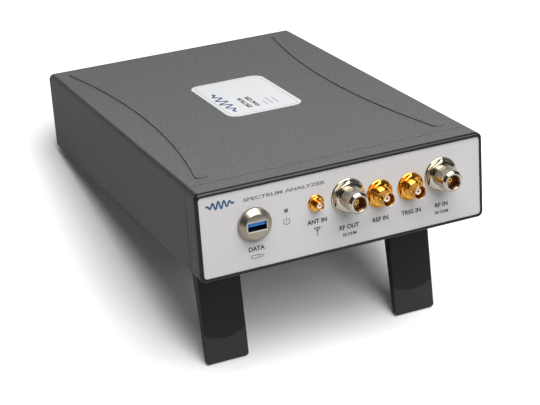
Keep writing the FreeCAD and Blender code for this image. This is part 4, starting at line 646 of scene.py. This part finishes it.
class ANALYZER_OT_finishes(Operator):
    """Make the materials and give each carried node its finish"""
    bl_idname = "analyzer.finishes"
    bl_label = "Finishes"

    def execute(self, context):
        MATERIALS.update(make_materials(context.scene.analyzer_finish))
        dress_cad_nodes()
        return {"FINISHED"}


def spot_of(node):
    """A turned node's axis, right of the middle and above the underside."""
    centre = part_centre(node)
    return centre[0], centre[2]


class ANALYZER_OT_type_n(Operator):
    """Build the two large nickel sockets with their flanged nuts and bore liners"""
    bl_idname = "analyzer.type_n"
    bl_label = "Large Sockets"

    def execute(self, context):
        sizes = context.scene.analyzer_ports
        nuts = []
        for side in ("left", "right"):
            node = f"type_n_{side}_shell"
            spot = spot_of(node)
            face = part_box(node)[0][1]
            outline = soften(shell_profile(node, TYPE_N), 0.3)
            barrel = threaded(spot, outline, TYPE_N.thread, face + 5.0, PANEL_FACE - TYPE_N.rise - 0.6,
                              sizes.type_n_pitch, sizes.thread_depth)
            new_piece(f"large_socket_{side}", barrel, "nickel_plate", (node,))
            liner = soften([(face + 1.4, 4.35), (face + 1.0, 4.6), (face + 1.0, 4.88), (face + 9.9, 4.88),
                            (face + 9.9, 4.35)], 0.12)
            new_piece(f"large_socket_liner_{side}", turned(spot, liner), "gold_plate", finish="bore_liner")
            nuts += flanged_nut(spot, TYPE_N)
        new_piece("large_socket_nuts", merge(*nuts), "nickel_plate", ("type_n_nuts",))
        return {"FINISHED"}


class ANALYZER_OT_bayonet(Operator):
    """Build the two gold bayonet sockets with their lugs and flanged nuts"""
    bl_idname = "analyzer.bayonet"
    bl_label = "Bayonet Sockets"

    def execute(self, context):
        nuts = []
        for side in ("left", "right"):
            node = f"bnc_{side}_shell"
            spot = spot_of(node)
            parts = [turned(spot, soften(shell_profile(node, BAYONET), 0.2))]
            parts += [lug(spot, part_box(node)[0][1] + LUG_BACK, sign) for sign in (-1, 1)]
            new_piece(f"bayonet_socket_{side}", merge(*parts), "gold_plate", (node,))
            nuts += flanged_nut(spot, BAYONET)
        new_piece("bayonet_socket_nuts", merge(*nuts), "gold_plate", ("bnc_nuts",))
        return {"FINISHED"}


def lug(spot, distance, sign):
    """A bayonet stud: rings of shrinking radius along X end in a shallow dome."""
    dome = [(4.3, 0.95), (5.45, 0.95), (5.65, 0.8), (5.73, AXIS_RADIUS)]
    steps = 24
    angle = round_angles(steps)
    rings = [np.stack([np.full(steps, spot[0] + sign * x), distance + r * np.cos(angle), spot[1] + r * np.sin(angle)],
                      axis=1) for x, r in dome]
    return outward(*skin(rings))


class ANALYZER_OT_sma(Operator):
    """Build the small gold threaded socket with its nut"""
    bl_idname = "analyzer.sma"
    bl_label = "Small Socket"

    def execute(self, context):
        node = "sma_shell"
        spot = spot_of(node)
        face = part_box(node)[0][1]
        outline = soften(shell_profile(node, SMALL), 0.15)
        barrel = threaded(spot, outline, SMALL.thread, face + 0.9, PANEL_FACE - SMALL.rise - 0.3,
                          context.scene.analyzer_ports.small_pitch, SMALL_THREAD_DEPTH)
        new_piece("small_socket", barrel, "gold_plate", (node,))
        new_piece("small_socket_nut", merge(*flanged_nut(spot, SMALL)), "gold_plate", ("sma_nut",))
        return {"FINISHED"}


class ANALYZER_OT_usb(Operator):
    """Build the round ring of the data port, pierced by its slot"""
    bl_idname = "analyzer.usb"
    bl_label = "Data Port Ring"

    def execute(self, context):
        low, high = part_box("usb_ring")
        centre = (low + high) / 2
        steps = 96
        angle = (np.arange(steps) + 0.5) / steps * 2 * math.pi
        circle = np.stack([np.cos(angle), np.sin(angle)], axis=1)
        slot_low, slot_high = part_box("usb_shell")
        slot = rounded_box_ring(slot_high[0] - slot_low[0] + 0.2, slot_high[2] - slot_low[2] + 0.2, 0.7, steps)
        sloped_rim = [(0.0, 8.7), (0.1, 9.0), (0.35, 9.25), (3.2, 11.95), (3.6, 12.2)]
        rings = [(high[1], slot), (low[1] + 0.35, slot), (low[1], slot * 1.035)]
        rings += [(low[1] + behind, circle * radius) for behind, radius in sloped_rim]
        rings += [(PANEL_FACE, circle * 12.25), (PANEL_FACE, circle * 10.8), (high[1], circle * 10.8)]
        points = np.concatenate([
            np.stack([centre[0] + ring[:, 0], np.full(steps, y), centre[2] + ring[:, 1]], axis=1)
            for y, ring in rings
        ])
        shape = outward(points, loop_faces(len(rings), steps))
        new_piece("data_port_ring", shape, "nickel_plate", ("usb_ring",), "satin_nickel", 28)
        return {"FINISHED"}


# ---------- screws
def pan_screw(seat, out, length, rise=2.0, steps=48):
    """A pan head screw with a cross recess.

    The head's top is a shallow dome, rise * (0.55 + 0.45 * sqrt(1 - (r / radius) ** 2)), pressed down by up
    to 0.55 of the rise inside two crossed slots.
    """
    out = np.asarray(out, float)
    side = np.cross(out, (1.0, 0.0, 0.0) if abs(out[0]) < 0.5 else (0.0, 1.0, 0.0))
    side /= np.linalg.norm(side)
    other = np.cross(out, side)
    angle = round_angles(steps)
    rows = [(AXIS_RADIUS, -length), (SCREW_SHANK - 0.3, -length), (SCREW_SHANK, -length + 0.3), (SCREW_SHANK, 0.0),
            (SCREW_HEAD - 0.1, 0.0), (SCREW_HEAD, 0.1), (SCREW_HEAD, rise * 0.5)]
    rows += [(SCREW_HEAD * math.cos(t), rise * (0.55 + 0.45 * math.sin(t))) for t in np.linspace(0.15, 1.5, 16)]
    rows += [(AXIS_RADIUS, rise)]
    rings = []
    for radius, height in rows:
        across, along = radius * np.cos(angle), radius * np.sin(angle)
        slots = np.maximum(cross_arm(across, along), cross_arm(along, across)) if height > rise * 0.5 else 0.0
        level = np.broadcast_to(height - 0.55 * rise * slots, angle.shape)
        rings.append(np.asarray(seat, float) + level[:, None] * out + across[:, None] * side + along[:, None] * other)
    return outward(*skin(rings))


def cross_arm(width, reach):
    """1 inside one slot of a cross recess that is 0.9 mm wide and 3.1 mm long, with sloped walls."""
    return np.clip((0.55 - np.abs(width)) / 0.2, 0, 1) * np.clip((1.75 - np.abs(reach)) / 0.4, 0, 1)


def screw_set(name, screws, node):
    """Join screws into one piece in place of their CAD node."""
    new_piece(name, merge(*screws), "zinc_screw", (node,))


class ANALYZER_OT_screws(Operator):
    """Build every visible pan head screw with its cross recess"""
    bl_idname = "analyzer.screws"
    bl_label = "Screws"

    def execute(self, context):
        down, back = (0.0, 0.0, -1.0), (0.0, 1.0, 0.0)
        half, height = CASE_HALF_WIDTH / MM, CASE_HEIGHT / MM
        depth = part_box("top_cover")[1][1]
        cover = [pan_screw((sign * (half - COVER_SCREW_INSET), y, 0.0), down, COVER_SCREW_LENGTH, 1.0)
                 for sign in (-1, 1) for y in (COVER_SCREW_END, depth / 2, depth - COVER_SCREW_END)]
        screw_set("cover_screw_set", cover, "cover_screws")
        under = []
        for name in ("front_left", "front_right", "rear_left", "rear_right"):
            centre = part_centre(name + "_foot")
            under.append(pan_screw((centre[0], centre[1], FOOT_SCREW_SEAT), down, UNDER_SCREW_LENGTH))
        for side in ("left", "right"):
            low, high = part_box(side + "_leg_bracket")
            middle, stop_middle = (low[0] + high[0]) / 2, low[1] + 5.0
            under += [pan_screw((middle + step, stop_middle, BRACKET_SCREW_SEAT), down, UNDER_SCREW_LENGTH)
                      for step in (-BRACKET_SCREW_STEP, BRACKET_SCREW_STEP)]
        screw_set("foot_and_bracket_screw_set", under, "foot_and_bracket_screws")
        rear_face = part_box("rear_panel")[1][1]
        rear = [pan_screw((sign * (half - REAR_SCREW_INSET), rear_face, z), back, REAR_SCREW_LENGTH)
                for sign in (-1, 1) for z in (REAR_SCREW_EDGE, height - REAR_SCREW_EDGE)]
        screw_set("rear_screw_set", rear, "rear_panel_screws")
        fan = part_centre("fan_frame")
        steps = (-FAN_SCREW_STEP, FAN_SCREW_STEP)
        corners = [pan_screw((fan[0] + dx, rear_face, fan[2] + dz), back, FAN_SCREW_LENGTH)
                   for dx in steps for dz in steps]
        screw_set("fan_screw_set", corners, "fan_screws")
        return {"FINISHED"}


# ---------- printing
class Sheet:
    """A flat printed surface: a point on it, and the directions that print runs along and stands up in."""

    def __init__(self, start, along, up):
        self.start, self.along, self.up = (np.array(item, float) for item in (start, along, up))
        self.out = np.cross(self.along, self.up)

    def points(self, flat):
        """Flat (along, up, out) millimetres to case millimetres."""
        flat = np.asarray(flat, float)
        return self.start + flat[:, :1] * self.along + flat[:, 1:2] * self.up + flat[:, 2:] * self.out


def lettering(text, height, middle, width=None):
    """Letters as a thin closed mesh round a middle point; capitals are height tall."""
    curve = bpy.data.curves.new("letters", "FONT")
    curve.body = text
    curve.size = height / 0.69
    curve.extrude = INK_FILM
    curve.offset = height * 0.05
    curve.resolution_u = 4
    holder = link_object("letters", curve)
    drawn = holder.evaluated_get(bpy.context.evaluated_depsgraph_get())
    mesh = bpy.data.meshes.new_from_object(drawn)
    points = np.array([vertex.co[:] for vertex in mesh.vertices])
    faces = [list(face.vertices) for face in mesh.polygons]
    bpy.data.objects.remove(holder)
    bpy.data.curves.remove(curve)
    bpy.data.meshes.remove(mesh)
    low, high = points.min(axis=0), points.max(axis=0)
    points[:, 0] -= (low[0] + high[0]) / 2
    points[:, 1] -= height / 2
    if width:
        points[:, 0] *= width / (high[0] - low[0])
    return points + np.array([middle[0], middle[1], 0.0]), faces


def ribbon(line, thickness):
    """A printed line of even thickness along a flat curve, as a thin closed mesh."""
    line = np.asarray(line, float)
    run = np.gradient(line, axis=0)
    run /= np.linalg.norm(run, axis=1, keepdims=True)
    normal = np.stack([-run[:, 1], run[:, 0]], axis=1) * thickness / 2
    left, right = line + normal, line - normal
    rings = [[(*one, INK_FILM), (*other, INK_FILM), (*other, -INK_FILM), (*one, -INK_FILM)]
             for one, other in zip(left, right)]
    return outward(*skin(rings))


def wave_mark(middle, width, height):
    """A generic mark: a sine wave whose height swells and fades as sin(t) does."""
    t = np.linspace(0, 1, 90)
    swell = np.sin(math.pi * t) ** 0.8
    line = np.stack([middle[0] + (t - 0.5) * width, middle[1] + swell * height / 2 * np.sin(10 * math.pi * t)], axis=1)
    return ribbon(line, height * 0.24)


def power_symbol(middle, radius):
    """An open ring with a bar through its gap."""
    x, z = middle
    angle = np.linspace(math.radians(125), math.radians(415), 48)
    ring = np.stack([x + radius * np.cos(angle), z + radius * np.sin(angle)], axis=1)
    bar = [(x, z + radius * 1.25), (x, z + radius * 0.6), (x, z + 0.1)]
    return [ribbon(ring, 0.42), ribbon(bar, 0.42)]


def antenna_symbol(middle, size):
    """A mast under a shallow V with a cross bar."""
    x, z = middle
    mast = [(x, z - size / 2), (x, z), (x, z + size / 2)]
    left, right, top = x - size * 0.4, x + size * 0.4, z + size / 2
    arms = [(left, top), (x, z + size * 0.05), (right, top)]
    bar = [(left, top), (x, top), (right, top)]
    return [ribbon(line, 0.6) for line in (mast, arms, bar)]


def plug_symbol(middle, size):
    """A plain outline of a flat plug: a body and a narrower nose."""
    x, z = middle
    rear, step, tip = x - size / 2, x + size * 0.2, x + size / 2
    body = [(rear, z + 1.1), (step, z + 1.1), (step, z - 1.1), (rear, z - 1.1), (rear, z + 1.15)]
    nose = [(step, z + 0.7), (tip, z + 0.7), (tip, z - 0.7), (step, z - 0.7)]
    return [ribbon(body, 0.45), ribbon(nose, 0.45)]


def print_on(sheet, name, parts, ink, slot):
    """Join printed parts and lay them on a sheet in one ink."""
    points, faces = merge(*parts)
    new_piece(name, (sheet.points(points), faces), slot, finish=ink)


class ANALYZER_OT_panel_print(Operator):
    """Print the front panel's generic legends, title and mark"""
    bl_idname = "analyzer.panel_print"
    bl_label = "Panel Print"

    def execute(self, context):
        panel = Sheet((0.0, PANEL_FACE, 0.0), (1, 0, 0), (0, 0, 1))
        ports = {"RF OUT": "type_n_left_shell", "RF IN": "type_n_right_shell", "REF IN": "bnc_left_shell",
                 "TRIG IN": "bnc_right_shell"}
        dark = [lettering(text, LEGEND_HEIGHT, (spot_of(node)[0], LEGEND_LEVEL)) for text, node in ports.items()]
        dark += [lettering("50 OHM", 2.1, (spot_of(ports[text])[0], 11.3)) for text in ("RF OUT", "RF IN")]
        small_port = spot_of("sma_shell")[0]
        dark.append(lettering("ANT IN", LEGEND_HEIGHT, (small_port, 26.5)))
        dark += antenna_symbol((small_port, 18.6), 6.0)
        data_port = spot_of("usb_ring")[0] + 0.5
        dark.append(lettering("DATA", LEGEND_HEIGHT, (data_port, LEGEND_LEVEL)))
        dark += plug_symbol((data_port, 11.0), 9.0)
        dark += power_symbol((spot_of("power_lens")[0], 31.6), 2.3)
        title = lettering("SPECTRUM ANALYZER", 2.3, (-45.0, 54.0), 62.0)
        print_on(panel, "panel_legends", dark, "dark_ink", "panel_film")
        print_on(panel, "panel_title", [title], "grey_ink", "panel_film")
        print_on(panel, "panel_mark", [wave_mark((-93.0, 54.5), 21.0, 5.4)], "blue_ink", "panel_film")
        return {"FINISHED"}


class ANALYZER_OT_label_print(Operator):
    """Print the top label's generic mark, title, plain bars and border, which run front to back"""
    bl_idname = "analyzer.label_print"
    bl_label = "Label Print"

    def execute(self, context):
        low, high = part_box("top_label")
        sheet = Sheet((low[0], low[1], high[2]), (0, 1, 0), (-1, 0, 0))
        length, width = high[1] - low[1], high[0] - low[0]
        title = [lettering("SPECTRUM", 3.6, (27.0, -23.0)), lettering("ANALYZER", 3.6, (27.0, -29.5))]
        bars = [ribbon([(14.0, -level), (end, -level)], 0.7) for end, level in
                ((24.0, 37.0), (30.0, 41.5), (28.0, 46.0))]
        border = rounded_box_ring(length - 6, width - 6, 6.5, 96)
        border = np.concatenate([border, border[:1]]) + np.array([length / 2, -width / 2])
        for name, parts, ink in (("label_mark", [wave_mark((36.0, -9.5), 50.0, 8.0)], "blue_ink"),
                                 ("label_title", title, "dark_ink"), ("label_lines", bars, "grey_ink"),
                                 ("label_border", [ribbon(border, 0.3)], "grey_ink")):
            print_on(sheet, name, parts, ink, "label_vinyl")
        return {"FINISHED"}


# ---------- moulded and folded edges: rounding in millimetres
EDGE_ROUNDS = {
    0.6: ("left_leg", "right_leg"),
    0.5: ("left_leg_tip", "right_leg_tip", "left_leg_bracket", "right_leg_bracket"),
    0.4: ("power_inlet", "fan_frame"),
    0.3: ("generator_screening_can", "receiver_screening_can", "power_supply_board"),
    0.2: ("front_panel", "rear_panel", "processor_heat_sink", "main_board", "chassis_tray", "usb_tongue", "fan_rotor",
          "power_inlet_pins"),
    0.15: ("usb_shell",),
}


class ANALYZER_OT_edges(Operator):
    """Round the sharp edges of the carried pieces, as their tools and folds leave them"""
    bl_idname = "analyzer.edges"
    bl_label = "Edges"

    def execute(self, context):
        for width, node in ((width, node) for width, nodes in EDGE_ROUNDS.items() for node in nodes):
            rounding = frame["nodes"][node].modifiers.new("rounding", "BEVEL")
            rounding.width = width * MM
            rounding.segments = 2
            rounding.limit_method = "ANGLE"
            rounding.angle_limit = math.radians(35)
            rounding.use_clamp_overlap = True
        return {"FINISHED"}


class ANALYZER_OT_stage(Operator):
    """Set the pale floor, the soft lights and the camera"""
    bl_idname = "analyzer.stage"
    bl_label = "Studio"

    def execute(self, context):
        make_floor()
        make_lights()
        make_camera(context.scene.analyzer_studio)
        context.scene.view_settings.view_transform = "Standard"
        return {"FINISHED"}


def make_floor():
    """A flat floor that keeps the shadow, fades to white with distance and is clear from underneath."""
    reach = 12.0
    mesh = bpy.data.meshes.new("studio_floor")
    mesh.from_pydata([(-reach, -reach, 0), (reach, -reach, 0), (reach, reach, 0), (-reach, reach, 0)], [],
                     [(0, 1, 2, 3)])
    floor = link_object("studio_floor", mesh)
    made, tree, shader = material("matt_white_floor", FLOOR_WHITE, roughness=0.9, values={"Specular IOR Level": 0.1})
    path = add(tree, "ShaderNodeLightPath")
    shown = maths(tree, "MAXIMUM", path.outputs["Is Camera Ray"],
                  maths(tree, "MAXIMUM", path.outputs["Is Glossy Ray"], path.outputs["Is Transmission Ray"]))
    shader.inputs["Emission Color"].default_value = (1, 1, 1, 1)
    coordinates = add(tree, "ShaderNodeTexCoord")
    away = add(tree, "ShaderNodeVectorMath", operation="LENGTH", links={0: coordinates.outputs["Object"]})
    far = mask_between(tree, away.outputs["Value"], *FLOOR_FADE)
    tree.links.new(maths(tree, "MULTIPLY", shown, maths(tree, "ADD", far, FLOOR_GLOW)),
                   shader.inputs["Emission Strength"])
    geometry = add(tree, "ShaderNodeNewGeometry")
    clear = add(tree, "ShaderNodeBsdfTransparent")
    seen_from_below = add(tree, "ShaderNodeMixShader", links={
        0: geometry.outputs["Backfacing"], 1: shader.outputs["BSDF"], 2: clear.outputs["BSDF"]})
    tree.links.new(seen_from_below.outputs["Shader"], tree.nodes["Material Output"].inputs["Surface"])
    tone = blend(tree, path.outputs["Is Camera Ray"], linear(FLOOR_BOUNCE), linear(FLOOR_WHITE))
    tree.links.new(tone, shader.inputs["Base Color"])
    mesh.materials.append(made)


def area_light(name, place_at, aim, size, power):
    """A soft box of size (across, along) metres, turned to face its aim."""
    data = bpy.data.lights.new(name, "AREA")
    data.shape = "RECTANGLE"
    data.size, data.size_y = size
    data.energy = power
    light = link_object(name, data)
    light.location = place_at
    light.rotation_euler = (Vector(aim) - Vector(place_at)).to_track_quat("-Z", "Y").to_euler()
    return light


def make_lights():
    """A wide soft box overhead, a weaker one from the front right, and a dim even surround."""
    area_light("overhead_box", (0.15, -0.3, 1.5), (0.0, 0.0, 0.05), (1.4, 1.4), 42)
    area_light("front_box", (0.35, -1.3, 1.2), (0.0, -0.1, 0.1), (0.8, 0.6), 7)
    world = bpy.data.worlds.new("studio_surround")
    bpy.context.scene.world = world
    world.use_nodes = True
    tree = world.node_tree
    tree.nodes.clear()
    path = add(tree, "ShaderNodeLightPath")
    shown = maths(tree, "MAXIMUM", path.outputs["Is Camera Ray"], path.outputs["Is Transmission Ray"])
    even = maths(tree, "MULTIPLY", SURROUND, maths(tree, "SUBTRACT", 1.0, maths(tree, "MULTIPLY", 0.5,
                 path.outputs["Is Glossy Ray"])))
    strength = add(tree, "ShaderNodeMapRange", links={"Value": shown, "To Min": even}, values={"To Max": 1.0})
    sky = add(tree, "ShaderNodeBackground", values={"Color": (1, 1, 1, 1)},
              links={"Strength": strength.outputs["Result"]})
    add(tree, "ShaderNodeOutputWorld", links={"Surface": sky.outputs["Background"]})


def make_camera(studio):
    """The camera at its eye, aimed at its target and rolled about its view line."""
    data = bpy.data.cameras.new("studio_camera")
    data.sensor_width = 36.0
    data.lens = studio.lens
    data.clip_start, data.clip_end = 0.05, 60.0
    camera = link_object("studio_camera", data)
    eye, target = Vector(studio.eye), Vector(studio.target)
    level = (target - eye).to_track_quat("-Z", "Y").to_matrix().to_4x4()
    camera.matrix_world = Matrix.Translation(eye) @ level @ Matrix.Rotation(studio.roll, 4, "Z")
    bpy.context.scene.camera = camera


class ANALYZER_PT_panel(Panel):
    """Sidebar panel that lists the pieces in building order"""
    bl_idname = "ANALYZER_PT_panel"
    bl_label = "Spectrum Analyzer"
    bl_space_type = "VIEW_3D"
    bl_region_type = "UI"
    bl_category = "Analyzer"

    def draw(self, context):
        for group in ("analyzer_finish", "analyzer_ports", "analyzer_studio"):
            box = self.layout.box()
            holder = getattr(context.scene, group)
            for name in holder.bl_rna.properties.keys():
                if name not in ("rna_type", "name"):
                    box.prop(holder, name)
        for operator in OPERATORS:
            self.layout.operator(operator.bl_idname)


GROUPS = {"analyzer_finish": FinishSettings, "analyzer_ports": PortSettings, "analyzer_studio": StudioSettings}
OPERATORS = (ANALYZER_OT_finishes, ANALYZER_OT_type_n, ANALYZER_OT_bayonet, ANALYZER_OT_sma, ANALYZER_OT_usb,
             ANALYZER_OT_screws, ANALYZER_OT_panel_print, ANALYZER_OT_label_print, ANALYZER_OT_edges,
             ANALYZER_OT_stage)


def register():
    for item in (*GROUPS.values(), *OPERATORS, ANALYZER_PT_panel):
        bpy.utils.register_class(item)
    for name, group in GROUPS.items():
        setattr(bpy.types.Scene, name, PointerProperty(type=group))


def unregister():
    for name in GROUPS:
        delattr(bpy.types.Scene, name)
    for item in reversed((*GROUPS.values(), *OPERATORS, ANALYZER_PT_panel)):
        bpy.utils.unregister_class(item)


def main():
    register()
    for operator in OPERATORS:
        group, name = operator.bl_idname.split(".")
        getattr(getattr(bpy.ops, group), name)()


if __name__ == "__main__":
    main()
